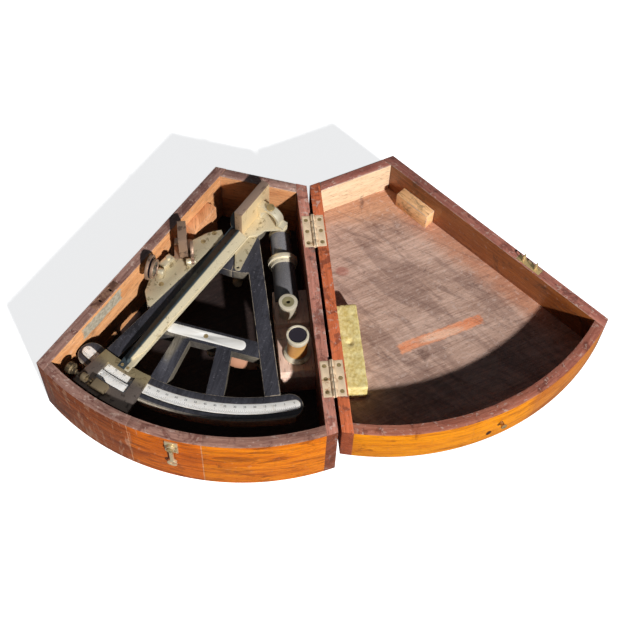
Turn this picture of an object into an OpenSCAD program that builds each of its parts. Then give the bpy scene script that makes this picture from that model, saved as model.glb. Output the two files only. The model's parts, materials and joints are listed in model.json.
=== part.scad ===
// Reflecting instrument of ebony and brass in its open keystone case.
// Millimetres. The origin is on the case's underside, straight below the
// instrument's pivot. X runs along the opened case, Y away from its curved
// front, Z up. The hinge wall is parallel to Y.

/* [Instrument] */
// Radius of the divided arc's outer edge
scale_r = 234; // [220:1:290]
// Radial width of the bone scale
scale_w = 11; // [8:0.5:13]
// Half angle between the centres of the limb's rounded ends
arc_half = 27.2; // [24:0.1:28]
// Width of the ebony arc
arc_w = 27; // [24:0.5:32]
// Thickness of the ebony frame
frame_t = 12; // [9:0.5:14]
// Width of the two straight limbs
limb_w = 16; // [13:0.5:20]
// Angle of each limb from the frame's centre line
limb_half = 23.3; // [22:0.1:24]
// Angle of each short strut from the frame's centre line
strut_half = 7.9; // [6:0.1:9]
// Distance of the cross bar's middle from the pivot, as a share of the scale radius
crossbar_share = 0.645; // [0.6:0.005:0.68]
// Width of the cross bar
crossbar_w = 18; // [14:0.5:22]
// Height of the feet that the instrument stands on
post_h = 37; // [34:0.5:44]
// Turn of the instrument's centre line in the plan
inst_turn = 21.6; // [20.5:0.1:22.5]
// Angle of the index arm from the frame's centre line, as stowed
index_at = 17.4; // [14:0.1:17.8]

/* [Index arm] */
// Reach of the arm's end plate past the scale's outer edge
arm_past = 28; // [24:1:32]
// Half angle of the end plate
plate_half = 7.5; // [6:0.1:8]
// Half width of the arm at the pivot
arm_half_top = 12; // [9:0.5:14]
// Half width of the arm at the end plate
arm_half_end = 7; // [5:0.5:9]
// Thickness of the arm's flat bar
arm_t = 2.5; // [2:0.1:3.5]
// Height of the arm's ridge above the bar
ridge_h = 5.6; // [3:0.1:7]
// Flat margin of the bar beside the ridge
ridge_margin = 1.6; // [1:0.1:3]
// Radius of the arm's round head
head_r = 21; // [18:0.5:23]
// Radius of the index axle
axle_r = 4; // [3:0.1:5]
// Length of the index mirror's frame
mirror_len = 52; // [44:1:54]
// Height of the index mirror's frame
mirror_h = 34; // [28:1:36]
// Thickness of the index mirror's frame
mirror_t = 9.5; // [8:0.5:11]
// Diameter of the tangent screw's knob
knob_d = 14; // [10:0.5:16]

/* [Horizon mirror and shades] */
// Length of the horizon mirror's frame
horizon_len = 25.5; // [22:0.5:30]
// Height of the horizon mirror's frame
horizon_h = 32; // [26:1:36]
// Thickness of the brass plate on the left limb
plate_t = 1.8; // [1.2:0.1:2.5]
// Outside radius of the two small shade frames
shade_r = 10.5; // [9:0.5:11]
// Outside radius of the large shade frame
big_shade_r = 13.5; // [12:0.5:14]
// Thickness of a shade frame
shade_t = 3; // [2.5:0.1:3.4]

/* [Telescope and eyepieces] */
// Outside diameter of the telescope's body
tele_d = 25; // [20:0.5:30]
// Wall of the telescope's body, which the draw tube slides in
tele_wall = 1.5; // [1:0.1:2.5]
// Height of the screwed collar over the telescope's body
collar_rise = 3.5; // [2:0.1:4.5]
// Length of the telescope body past the collar
tele_len = 47.5; // [42:0.5:48]
// Visible length of the draw tube
draw_out = 35; // [28:0.5:36]
// Diameter of the plain sight tube
sight_d = 18; // [16:0.5:20]
// Diameter of the eyepiece's barrel
eyepiece_d = 19; // [17:0.5:20]

/* [Case] */
// Angle between the case's centre line and each side wall
wedge = 19.7; // [19:0.1:20.5]
// Wall thickness
wall = 11.4; // [9:0.1:14]
// Height of the base from the ground to its rim
base_h = 80; // [76:0.5:96]
// Height of the lid, outside
lid_h = 48; // [44:0.5:60]
// Thickness of the base's bottom board
floor_t = 8; // [6:0.5:10]
// Thickness of the lid's top board
board_t = 7; // [5:0.5:9]
// Distance from the pivot to the outside of the back wall
back_y = 48; // [46:0.5:58]
// Distance from the pivot to the centre of the front's curve
curve_y = 15.1; // [10:0.1:20]
// Length of each butt hinge
hinge_len = 41; // [34:0.5:50]
// Radius of the hinge knuckles
knuckle_r = 2.6; // [2.2:0.1:3]
// Thickness of the hinge leaves
leaf_t = 1.6; // [1.2:0.1:2]
// Distance of the hinge line from the wall's outer face
hinge_out = 1.7; // [1.2:0.1:2.2]
// Length of the latch hook between its pin and the lid's stud
hook_len = 31; // [26:0.5:36]

/* [Clearances] */
// Between the arc's left end and the lock wall
side_gap = 2.4; // [1.5:0.1:6]
// Between the arm's end plate and the curved front
front_gap = 8.9; // [6:0.1:14]
// Between the telescope's collar and the hinge wall
tele_side_gap = 5.2; // [4:0.1:7]
// Between faces that move past each other
gap = 0.3; // [0.2:0.05:0.5]
// Radial play of a shaft in its hole
play = 0.05; // [0.02:0.01:0.08]
// Radial play of a part that lifts out of its wooden hole
seat_play = 0.1; // [0.05:0.01:0.2]
// Glue line between wooden pieces of one member
glue = 0.1; // [0.05:0.01:0.15]

/* [Hidden] */
$fn = 96;
eps = 0.01;

// How far a cutting solid reaches past what it cuts
over = 1;

// Room round a screw that is driven home
screw_play = 0.02;

// Colours as the photograph shows them
varnish = "#c05e1c";
redwood = "#8a3a20";
rimwood = "#7c4636";
palewood = "#c99d6e";
darkwood = "#2a1c16";
ebony = "#1c1a1d";
brass = "#b08f4e";
tarnish = "#4b4130";
bone = "#e9e2cd";
blackened = "#26242a";
cork = "#d8b45a";
clearglass = "#9fb4b8";
darkglass = "#231d2b";

// Heights of the instrument, from the ground up
frame_z = floor_t + post_h;
frame_top = frame_z + frame_t;
arm_z = frame_top + plate_t + gap;
arm_top = arm_z + arm_t;

// The ebony arc and the scale let into it
arc_out = scale_r + 8;
arc_in = arc_out - arc_w;
arc_mid = (arc_out + arc_in) / 2;
arc_end_r = arc_w / 2;
scale_in = scale_r - scale_w;
scale_past = 1.3;
scale_half = arc_half + scale_past;
scale_let = 1.2;
scale_proud = 0.3;
crossbar_y = scale_r * crossbar_share;
apex_r = limb_w / 2 + 10;
web_r = 66;
bush_r = axle_r + 2;
bush_flange_r = apex_r - 2;

// Outline of the case, in its own frame with -Y along its centre line
case_tilt = inst_turn - wedge;
side_off = wall + arc_end_r + side_gap + arc_mid * sin(arc_half + case_tilt - wedge);
back_half = (side_off - back_y * sin(wedge)) / cos(wedge);
arm_end_r = scale_r + arm_past;
front_y = arm_end_r + front_gap + wall;
front_r = front_y - curve_y;
far = 3 * front_r;

// Hinge line and rims
rim_gap = gap / 2;
hinge_x = side_off + hinge_out;
hinge_in_x = side_off - wall;
rim_base = base_h - rim_gap;
lid_z0 = base_h - lid_h;
lid_floor = lid_z0 + board_t;
hinge_mid = [-0.118 * front_y, -0.755 * front_y];
knuckles = 5;
knuckle_l = hinge_len / knuckles;
leaf_inset = 1.6;
leaf_w = wall + hinge_out - leaf_inset;
pin_r = 1.25;

// Index arm
window_in = scale_r - 9;
window_out = scale_r + 11;
window_half = 4.3;
plate_z0 = frame_top + scale_proud + gap;
pocket_floor = 0.8;
tongue = 7;
plate_in = scale_r - 18;
screw_y = scale_r + 19;
screw_z = arm_top + 4.6;
thread_r = 1.5;
knob_r = knob_d / 2;
knob_off = 6.8;
knob_x = arm_end_r * sin(plate_half) + knob_off;
clamp_y = scale_r + 1;
clamp_w = 18;
clamp_t = 2.6;
clamp_drop = 2;
mirror_shift = 5.4;
bracket_x = 33;
bracket_y = 13.6;
bracket_w = 10;
bracket_foot_r = 6;

// Horizon mirror, in the instrument's frame
horizon_at = [-56.4, -55.7];
horizon_t = 9;
plate_z = frame_top + plate_t;
pin_z = plate_z + 4.5;
shade_pin_r = 1.5;
shade_arm = 13;
big_arm = 16;

// Telescope, lying along the hinge wall
draw_d = tele_d - 2 * tele_wall;
collar_d = tele_d + 2 * collar_rise;
tele_x = hinge_in_x - collar_d / 2 - tele_side_gap;
tele_z = frame_z - 1;
tele_back = -9;
collar_t = 5;
collar_y = tele_back - draw_out - collar_t;
tele_front = collar_y - tele_len;
draw_in = 26;
draw_wall = 1.2;
draw_rim_l = 4;
draw_rim_r = draw_d / 2 + 1.3;

// Wooden block for the telescope's front end and the two spare eyepieces
block_w = 36;
block_back = tele_front + 13;
block_len = 102;
block_step = [41, 57];
block_front = block_back - block_len;
block_z = tele_z;
block_front_z = block_z - 2;
step_z = block_z - 8;
sight_at = [hinge_in_x - 21.7, tele_front - 14.5];
eyepiece_at = [hinge_in_x - 16.7, tele_front - 63.5];
hole_z = floor_t + 5;

// Lock and latch
lock_s = 200 * front_y / 282.3;
lock_len = 38;
lock_w = wall - 2.4;
lock_body = [34, 6.4, 22];
link_gap = 16;
latch_z = base_h - 11;
stud_z = latch_z + hook_len;

function polar(r, a) = [r * sin(a), -r * cos(a)];
function arm_half(r) = arm_half_top + (arm_half_end - arm_half_top) * r / (plate_in + tongue);

// Half width of the case at y, taken in from the outside by t
function half_at(y, t) = back_half + (back_y - y) * tan(wedge) - t / cos(wedge);

// Places things in the instrument's, the index arm's and the case's frames
module at_inst() rotate([0, 0, -inst_turn]) children();
module at_arm() rotate([0, 0, -inst_turn - index_at]) children();
module at_case() rotate([0, 0, -wedge]) children();

// Mirrors what is drawn like a shallow base into the lid, opened flat beside it
module on_lid() translate([2 * hinge_x, 0, 0]) mirror([1, 0, 0]) children();

// Sector of a ring between two radii and within a half angle of -Y
module ring_sector(r_in, r_out, half) {
    difference() {
        intersection() {
            circle(r = r_out, $fn = 240);
            polygon([[0, 0], polar(far, -half), polar(1.4 * far, 0), polar(far, half)]);
        }
        circle(r = r_in, $fn = 240);
    }
}

// Ring sector with half-round ends
module band(r_in, r_out, half) {
    ring_sector(r_in, r_out, half);
    for (side = [-1, 1])
        translate(polar((r_in + r_out) / 2, side * half)) circle(r = (r_out - r_in) / 2);
}

// Slotted screw head with its shank below, the head's top face at z = 0
slot_w = 0.6;
slot_deep = 0.5;
module screw(head_r, head_h, shank_r, shank_l) {
    difference() {
        translate([0, 0, -head_h]) cylinder(h = head_h, r1 = shank_r, r2 = head_r);
        translate([-head_r, -slot_w / 2, -slot_deep]) cube([2 * head_r, slot_w, 2 * slot_deep]);
    }
    translate([0, 0, -head_h - shank_l]) cylinder(h = shank_l + eps, r = shank_r);
}

// Hole for that screw, wider by t all round
module screw_hole(head_r, head_h, shank_r, shank_l, t) {
    translate([0, 0, -head_h]) cylinder(h = head_h + eps, r1 = shank_r + t, r2 = head_r + t);
    translate([0, 0, -head_h - shank_l - t]) cylinder(h = shank_l + t + eps, r = shank_r + t);
}

// Case outline
module wedge_2d(t) {
    polygon([
        [-half_at(back_y, t), back_y], [half_at(back_y, t), back_y],
        [half_at(-far, t), -far], [-half_at(-far, t), -far]
    ]);
}

module front_circle(t) translate([0, -curve_y]) circle(r = front_r - t, $fn = 720);

module inside_2d(t) {
    intersection() {
        wedge_2d(t);
        front_circle(t);
        translate([-far, -far]) square([2 * far, far + back_y - t]);
    }
}

// One side wall; side is 1 for the hinge wall and -1 for the lock wall
module side_wall_2d(side) {
    intersection() {
        difference() {
            wedge_2d(0);
            wedge_2d(wall);
        }
        front_circle(0);
        translate([side > 0 ? 0 : -far, -far]) square([far, 2 * far]);
    }
}

module back_wall_2d() {
    intersection() {
        wedge_2d(wall);
        translate([-far, back_y - wall]) square([2 * far, wall]);
    }
}

module front_wall_2d() {
    difference() {
        intersection() {
            wedge_2d(wall);
            front_circle(0);
        }
        front_circle(wall);
        translate([-far, -curve_y]) square([2 * far, far]);
    }
}

// Cuts that part the front into its glued lengths, at these angles
front_cuts = [-9.9, 6.3];
module front_joints()
    translate([0, -curve_y])
        for (a = front_cuts)
            rotate([0, 0, a]) translate([-glue / 2, -2 * front_r]) square([glue, 2 * front_r]);

// Hinge leaf screw places along the hinge, from its middle
leaf_screws = [-0.36, 0, 0.36];
leaf_screw_x = leaf_w / 2 + 1.6;
leaf_head_r = 2.3;
leaf_head_h = 1.5;
leaf_shank_r = 1.1;
leaf_shank_l = 7;
module leaf_screw_places(y)
    for (s = leaf_screws)
        translate([hinge_x - leaf_screw_x, y + s * hinge_len, rim_base]) children();

module leaf_screw_hole() screw_hole(leaf_head_r, leaf_head_h, leaf_shank_r, leaf_shank_l, play);

// One leaf lying below the hinge plane, with the knuckles of this parity
module leaf(y, parity) {
    web_x = knuckle_r + gap;
    difference() {
        union() {
            translate([hinge_x - leaf_w, y - hinge_len / 2, rim_base - leaf_t])
                cube([leaf_w - web_x, hinge_len, leaf_t]);
            for (k = [0 : knuckles - 1])
                if (k % 2 == parity) {
                    y0 = y - hinge_len / 2 + k * knuckle_l + (k > 0 ? gap / 2 : 0);
                    l = knuckle_l - (k > 0 ? gap / 2 : 0) - (k < knuckles - 1 ? gap / 2 : 0);
                    translate([hinge_x, y0, base_h]) rotate([-90, 0, 0]) cylinder(h = l, r = knuckle_r);
                    translate([hinge_x - web_x - eps, y0, rim_base - leaf_t])
                        cube([web_x + eps, l, leaf_t]);
                }
        }
        translate([hinge_x, y - hinge_len, base_h])
            rotate([-90, 0, 0]) cylinder(h = 2 * hinge_len, r = pin_r + play);
        leaf_screw_places(y) leaf_screw_hole();
    }
}

// Room in a hinge wall for the leaf, the knuckles and the screws
module leaf_pocket(y) {
    translate([hinge_x - leaf_w, y - hinge_len / 2, rim_base - leaf_t]) cube([far, hinge_len, far]);
    translate([hinge_x, y - hinge_len / 2 - gap, base_h])
        rotate([-90, 0, 0]) cylinder(h = hinge_len + 2 * gap, r = knuckle_r + gap);
    leaf_screw_places(y) leaf_screw_hole();
}

module leaf_screw_set(y)
    leaf_screw_places(y) screw(leaf_head_r, leaf_head_h, leaf_shank_r, leaf_shank_l);

// Places the lock's own frame: x along the lock wall, y through it, z up from the rim
module at_lock()
    at_case() translate([-back_half, back_y, base_h]) rotate([0, 0, -90 - wedge])
        translate([lock_s, wall / 2, 0]) children();

module base_hinge_wall() color(varnish)
    difference() {
        at_case() linear_extrude(rim_base) side_wall_2d(1);
        for (y = hinge_mid) leaf_pocket(y);
    }

module base_back_wall() color(redwood)
    at_case() linear_extrude(rim_base) back_wall_2d();

module base_lock_wall() color(varnish)
    difference() {
        at_case() linear_extrude(rim_base) side_wall_2d(-1);
        at_lock() lock_space();
    }

module base_curved_front() color(varnish)
    difference() {
        at_case() linear_extrude(rim_base) difference() {
            front_wall_2d();
            front_joints();
        }
        at_case() translate([0, -front_y, latch_z]) rotate([-90, 0, 0]) latch_screw_hole();
    }

module base_floor() color(darkwood)
    at_case() linear_extrude(floor_t) inside_2d(wall);

// Bore for the latch's screw, its axis along the case's centre line
latch_pin_r = 1.6;
latch_screw_l = 8;
module latch_screw_hole() cylinder(h = latch_screw_l, r = latch_pin_r);

// Room for the lock, in the lock's frame, with its rim plate let in flush
rim_plate_t = 1.6;
module lock_space() {
    translate([-lock_len / 2, -lock_w / 2, -rim_gap - rim_plate_t]) cube([lock_len, lock_w, far]);
    translate([-lock_body[0] / 2, -lock_body[1] / 2, -rim_gap - rim_plate_t - lock_body[2]])
        cube([lock_body[0], lock_body[1], lock_body[2] + eps]);
    translate([0, -wall, lock_key_z]) rotate([-90, 0, 0]) keyhole_cut(wall);
}

key_r = 1.9;
key_slot = [1.6, 7];
lock_key_z = -15;
module keyhole_cut(l) {
    cylinder(h = l, r = key_r);
    translate([-key_slot[0] / 2, 0, 0]) cube([key_slot[0], key_slot[1], l]);
}

// The wooden blocks of the base: a stop beside the apex, the eyepieces' block
// with its cradle for the telescope, and a rest under the draw tube's rim
stop_block = [33, 72, 12, 52];
rest = [20, 16];
bevel = 5;
module base_blocks() color(palewood) {
    at_case() translate([-back_half, back_y, floor_t]) rotate([0, 0, -90 - wedge])
        translate([stop_block[0], wall, 0])
            cube([stop_block[1] - stop_block[0], stop_block[2], stop_block[3]]);
    difference() {
        translate([hinge_in_x - block_w, block_front, floor_t])
            cube([block_w, block_len, block_z - floor_t]);
        translate([hinge_in_x - block_w - over, block_back - block_step[1], step_z])
            cube([block_w + 2 * over, block_step[1] - block_step[0], far]);
        translate([hinge_in_x - block_w - over, block_front - over, block_front_z])
            cube([block_w + 2 * over, block_len - block_step[1] + over + eps, far]);
        translate([hinge_in_x - block_w - over, block_front, block_front_z - bevel])
            rotate([45, 0, 0]) cube([block_w + 2 * over, 2 * bevel, 3 * bevel]);
        translate([tele_x, tele_front - seat_play, tele_z])
            rotate([-90, 0, 0]) cylinder(h = far, r = tele_d / 2 + seat_play);
        translate([sight_at[0], sight_at[1], hole_z]) cylinder(h = far, r = sight_d / 2 + seat_play);
        translate([eyepiece_at[0], eyepiece_at[1], hole_z])
            cylinder(h = far, r = eyepiece_d / 2 + seat_play);
    }
    translate([tele_x - rest[0] / 2, tele_back - rest[1] / 2, floor_t])
        cube([rest[0], rest[1], tele_z - draw_rim_r - seat_play - floor_t]);
}

module base_hinge_leaves() color(brass)
    for (y = hinge_mid) leaf(y, 0);

module hinge_pins() color(brass)
    for (y = hinge_mid)
        translate([hinge_x, y - hinge_len / 2, base_h])
            rotate([-90, 0, 0]) cylinder(h = hinge_len, r = pin_r);

latch_head = [3.2, 1.6];
module base_screws() color(brass) {
    for (y = hinge_mid) leaf_screw_set(y);
    at_case() translate([0, -front_y - latch_plate_t - hook_t - 2 * gap, latch_z]) rotate([90, 0, 0]) {
        cylinder(h = latch_head[1], r = latch_head[0]);
        translate([0, 0, -latch_screw_l]) cylinder(h = latch_screw_l + eps, r = latch_pin_r);
    }
}

// Parts of the lock in its own frame
cavity = [lock_body[0] - 2, lock_body[1] - 1.6, lock_body[2] - 3];
prong = [1.5, 4.2, 8.5];
prong_play = 0.45;
nose_z = -7.2;
nose = [4.5, 2.6, 2.4];
bolt_bar_h = 2.6;
bolt_bar_z = -11.5;
bolt_end = 0.5;
bolt_room = 5.5;
nose_stem = 1.8;
nose_off = 0.8;
module lock_case() color(brass)
    at_lock() difference() {
        union() {
            translate([-lock_len / 2, -lock_w / 2, -rim_gap - rim_plate_t])
                cube([lock_len, lock_w, rim_plate_t]);
            translate([-lock_body[0] / 2, -lock_body[1] / 2, -rim_gap - rim_plate_t - lock_body[2]])
                cube([lock_body[0], lock_body[1], lock_body[2] + eps]);
        }
        translate([-cavity[0] / 2, -cavity[1] / 2, bolt_bar_z - gap])
            cube([cavity[0], cavity[1], -bolt_bar_z + gap - rim_gap - rim_plate_t]);
        for (side = [-1, 1])
            translate([side * link_gap / 2, 0, -rim_plate_t - over])
                translate([-prong[0] / 2 - prong_play, -prong[1] / 2 - gap, 0])
                    cube([prong[0] + 2 * prong_play, prong[1] + 2 * gap, far]);
        translate([0, -wall, lock_key_z]) rotate([-90, 0, 0]) keyhole_cut(wall);
    }

module lock_bolt() color(brass)
    at_lock() {
        translate([-cavity[0] / 2 + bolt_end, -nose[1] / 2, bolt_bar_z])
            cube([cavity[0] - bolt_room, nose[1], bolt_bar_h]);
        for (side = [-1, 1])
            translate([side * link_gap / 2 - prong[0] / 2 - nose_off - nose[0], -nose[1] / 2, 0]) {
                translate([0, 0, nose_z]) cube(nose);
                translate([0, 0, bolt_bar_z]) cube([nose_stem, nose[1], nose_z - bolt_bar_z + nose[2]]);
            }
    }

// Latch on the case's front
latch_plate_t = 1.5;
latch_plate_size = [13, 19];
latch_plate_drop = 12;
hook_t = 3;
hook_w = 3.4;
hook_eye_r = 4.2;
stud_r = 2;
hook_ring_r = stud_r + 0.5;
hook_ring_w = hook_w - 0.6;
module latch_plate() color(brass)
    at_case() difference() {
        translate([-latch_plate_size[0] / 2, -front_y - latch_plate_t, latch_z - latch_plate_drop])
            cube([latch_plate_size[0], latch_plate_t + over, latch_plate_size[1]]);
        linear_extrude(base_h) front_circle(0);
        translate([0, -front_y - far / 2, latch_z])
            rotate([-90, 0, 0]) cylinder(h = far, r = latch_pin_r + play);
    }

// The hook, hanging from its screw, with its mouth towards +X
module latch_hook() color(brass)
    at_case() translate([0, -front_y - latch_plate_t - gap, latch_z]) rotate([90, 0, 0]) difference() {
        union() {
            cylinder(h = hook_t, r = hook_eye_r);
            translate([-hook_w / 2, -hook_len + hook_ring_r + over, 0])
                cube([hook_w, hook_len - hook_ring_r - over, hook_t]);
            translate([0, -hook_len, 0]) cylinder(h = hook_t, r = hook_ring_r + hook_ring_w);
        }
        translate([0, 0, -over]) cylinder(h = hook_t + 2 * over, r = latch_pin_r + play);
        translate([0, -hook_len, -over]) cylinder(h = hook_t + 2 * over, r = hook_ring_r);
        translate([0, -hook_len - hook_ring_r, -over]) cube([far, 2 * hook_ring_r, hook_t + 2 * over]);
    }

// The lid, drawn like a shallow base and mirrored over the hinge line
module lid_prism()
    on_lid() at_case() translate([0, 0, lid_z0]) linear_extrude(rim_base - lid_z0) children();

module lid_hinge_wall() color(varnish)
    difference() {
        lid_prism() side_wall_2d(1);
        on_lid() for (y = hinge_mid) leaf_pocket(y);
    }

module lid_back_wall() color(redwood)
    lid_prism() back_wall_2d();

striker = [30, 7.6, 1.6];
catch_play = [0.7, 0.5];
stud_open_z = 2 * base_h - stud_z;
module lid_lock_wall() color(varnish)
    difference() {
        lid_prism() side_wall_2d(-1);
        on_lid() at_lock() striker_space();
    }

module lid_curved_front() color(varnish)
    difference() {
        lid_prism() difference() {
            front_wall_2d();
            front_joints();
        }
        on_lid() at_case() translate([0, -front_y, stud_open_z])
            rotate([-90, 0, 0]) latch_screw_hole();
    }

module lid_board() color(rimwood)
    on_lid() at_case() translate([0, 0, lid_z0]) linear_extrude(board_t) inside_2d(wall);

lid_stop = [30, 75, 13, 21];
module lid_block() color(palewood)
    on_lid() at_case() translate([-back_half, back_y, lid_floor]) rotate([0, 0, -90 - wedge])
        translate([lid_stop[0], wall, 0])
            cube([lid_stop[1] - lid_stop[0], lid_stop[2], lid_stop[3]]);

pad = [23.5, 101, 21];
pad_front = -216;
pad_round = 11;
module lid_pad() color(cork)
    on_lid() translate([hinge_in_x - pad[0], pad_front, lid_floor]) linear_extrude(pad[2]) union() {
        square([pad[0], pad[1] - pad_round]);
        translate([pad_round, pad[1] - pad_round]) circle(r = pad_round);
        translate([pad_round, pad[1] - 2 * pad_round]) square([pad[0] - pad_round, 2 * pad_round]);
    }

module lid_hinge_leaves() color(brass)
    on_lid() for (y = hinge_mid) leaf(y, 1);

// Lid screws and the stud that the latch hook catches
stud_neck = latch_plate_t + 2 * gap + hook_t;
stud_head = [stud_r + 1.2, 1.2];
module lid_screws() color(brass)
    on_lid() {
        for (y = hinge_mid) leaf_screw_set(y);
        at_case() translate([0, -front_y, stud_open_z]) rotate([90, 0, 0]) {
            translate([0, 0, -latch_screw_l]) cylinder(h = latch_screw_l + eps, r = latch_pin_r);
            cylinder(h = stud_neck, r = stud_r);
            translate([0, 0, stud_neck - eps]) cylinder(h = stud_head[1], r = stud_head[0]);
        }
    }

module striker_space()
    translate([-striker[0] / 2, -striker[1] / 2, -rim_gap - striker[2]])
        cube([striker[0], striker[1], far]);

// Striker with its two links standing up from the opened lid
module striker_plate() color(brass)
    on_lid() at_lock() {
        translate([-striker[0] / 2, -striker[1] / 2, -rim_gap - striker[2]]) cube(striker);
        for (side = [-1, 1])
            translate([side * link_gap / 2, 0, -rim_gap - eps]) difference() {
                translate([-prong[0] / 2, -prong[1] / 2, 0]) cube(prong);
                translate([-prong[0], -nose[1] / 2 - gap, -nose_z - nose[2] - catch_play[0]])
                    cube([2 * prong[0], nose[1] + 2 * gap, nose[2] + catch_play[0] + catch_play[1]]);
            }
    }

// Frame of the instrument
module outside_arc() difference() {
    circle(r = 2 * far);
    circle(r = arc_in, $fn = 240);
}

module limb_2d(side) intersection() {
    difference() {
        union() {
            rotate([0, 0, side * limb_half]) translate([-limb_w / 2, -far]) square([limb_w, far]);
            circle(r = apex_r);
            ring_sector(0, web_r, limb_half);
            if (side < 0) rotate([0, 0, -limb_half]) lobe_2d();
        }
        outside_arc();
        circle(r = bush_r);
    }
    translate([side > 0 ? glue / 2 : -far, -far]) square([far - glue / 2, 2 * far]);
}

// Brass plate on the left limb, and the ebony lobe under it, in the limb's frame
lobe_x = [-33, -7.5];
lobe_y = [27, 150];
lobe_head = [9, 6];
lobe_shoulder = [8, 12, 34];
lobe_hip = [8, 11, 26];
lobe_toe = [4, 2];
plate_inset = 0.8;
module lobe_2d(t = 0)
    polygon([
        [lobe_x[1] - t, -lobe_y[0] - lobe_head[1]],
        [lobe_x[1] - lobe_head[0], -lobe_y[0] - t],
        [lobe_x[0] + lobe_shoulder[0], -lobe_y[0] - lobe_shoulder[1] - t],
        [lobe_x[0] + t, -lobe_y[0] - lobe_shoulder[2]],
        [lobe_x[0] + t, -lobe_y[1] + lobe_hip[2]],
        [lobe_x[0] + lobe_hip[0], -lobe_y[1] + lobe_hip[1]],
        [lobe_x[1] - lobe_toe[0], -lobe_y[1] + t],
        [lobe_x[1] - t, -lobe_y[1] + lobe_toe[1]]
    ]);

module left_limb() color(ebony)
    at_inst() difference() {
        translate([0, 0, frame_z]) linear_extrude(frame_t) limb_2d(-1);
        plate_screws() plate_screw_hole();
    }

module right_limb() color(ebony)
    at_inst() translate([0, 0, frame_z]) linear_extrude(frame_t) limb_2d(1);

strut_w = [15, 19];
module frame_braces() color(ebony)
    at_inst() difference() {
        translate([0, 0, frame_z]) linear_extrude(frame_t) difference() {
            union() {
                translate([-far, -crossbar_y - crossbar_w / 2]) square([2 * far, crossbar_w]);
                for (side = [-1, 1]) rotate([0, 0, side * strut_half]) polygon([
                    [-strut_w[0] / 2, -crossbar_y], [strut_w[0] / 2, -crossbar_y],
                    [strut_w[1] / 2, -arc_mid], [-strut_w[1] / 2, -arc_mid]
                ]);
            }
            for (side = [-1, 1]) rotate([0, 0, side * limb_half])
                translate([side > 0 ? -limb_w / 2 : -far, -far]) square([far + limb_w / 2, 2 * far]);
            rotate([0, 0, -limb_half]) lobe_2d();
            outside_arc();
        }
        note_screw_place() note_screw_hole();
    }

module frame_arc() color(ebony)
    at_inst() difference() {
        translate([0, 0, frame_z]) linear_extrude(frame_t) band(arc_in, arc_out, arc_half);
        translate([0, 0, frame_top - scale_let]) linear_extrude(frame_t) band(scale_in, scale_r, scale_half);
    }

module arc_scale() color(bone)
    at_inst() translate([0, 0, frame_top - scale_let])
        linear_extrude(scale_let + scale_proud) band(scale_in, scale_r, scale_half);

note = [85, 11, 1.2];
note_head_r = 2.6;
note_head_h = 1.1;
note_shank_r = 1.2;
note_shank_l = 6;
module note_screw_place() translate([0, -crossbar_y, frame_top + note[2]]) children();

module note_screw_hole() screw_hole(note_head_r, note_head_h, note_shank_r, note_shank_l, screw_play);

module note_plate() color(bone)
    at_inst() difference() {
        translate([0, -crossbar_y, frame_top]) linear_extrude(note[2]) union() {
            square([note[0] - note[1], note[1]], center = true);
            for (side = [-1, 1]) translate([side * (note[0] - note[1]) / 2, 0]) circle(d = note[1]);
        }
        note_screw_place() note_screw_hole();
    }

plate_screw_at = [[-19.6, -36], [-21.2, -52], [-18.3, -121.1]];
plate_head_r = 2.9;
plate_head_h = 1.3;
plate_shank_r = 1.4;
plate_shank_l = 8;
plate_screw_turn = 25;
module plate_screws()
    rotate([0, 0, -limb_half]) for (p = plate_screw_at) translate([p[0], p[1], plate_z]) children();

module plate_screw_hole()
    screw_hole(plate_head_r, plate_head_h, plate_shank_r, plate_shank_l, screw_play);

module frame_screws() color(brass)
    at_inst() {
        plate_screws() rotate([0, 0, plate_screw_turn])
            screw(plate_head_r, plate_head_h, plate_shank_r, plate_shank_l);
        note_screw_place() screw(note_head_r, note_head_h, note_shank_r, note_shank_l);
    }

// Brass bush with its pointed plate on the apex
bush_point = [5.3, 61];
bush_root = [0.9, 0.4] * bush_flange_r;
bush_tip_w = 3.4;
bush_tip_r = 3.6;
bush_hole_r = 1.6;
module pivot_bush() color(brass)
    at_inst() difference() {
        union() {
            translate([0, 0, frame_z]) cylinder(h = frame_t + eps, r = bush_r);
            translate([0, 0, frame_top]) linear_extrude(plate_t) union() {
                circle(r = bush_flange_r);
                rotate([0, 0, bush_point[0]]) polygon([
                    [-bush_root[0], -bush_root[1]], [bush_root[0], -bush_root[1]],
                    [bush_tip_w, -bush_point[1]], [-bush_tip_w, -bush_point[1]]
                ]);
                translate(polar(bush_point[1], bush_point[0])) circle(r = bush_tip_r);
            }
        }
        translate([0, 0, frame_z - over]) cylinder(h = far, r = axle_r + play);
        translate(concat(polar(bush_point[1], bush_point[0]), [frame_top - over]))
            cylinder(h = far, r = bush_hole_r);
    }

module mount_plate() color(brass)
    at_inst() difference() {
        translate([0, 0, frame_top]) rotate([0, 0, -limb_half]) linear_extrude(plate_t) lobe_2d(plate_inset);
        plate_screws() plate_screw_hole();
        cylinder(h = far, r = bush_flange_r + gap);
    }

// Horizon mirror on its foot, in a frame turned to the mirrors' zero
zero_at = inst_turn;
foot_t = 2.2;
foot_x = [-10, 7];
foot_side = 1;
boss_r = 4;
boss_l = 5;
mirror_glass_t = 2.4;
glass_deep = 0.4;
frame_lip = 2;
module at_horizon()
    at_inst() translate([horizon_at[0], horizon_at[1], plate_z]) rotate([0, 0, zero_at]) children();

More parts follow.
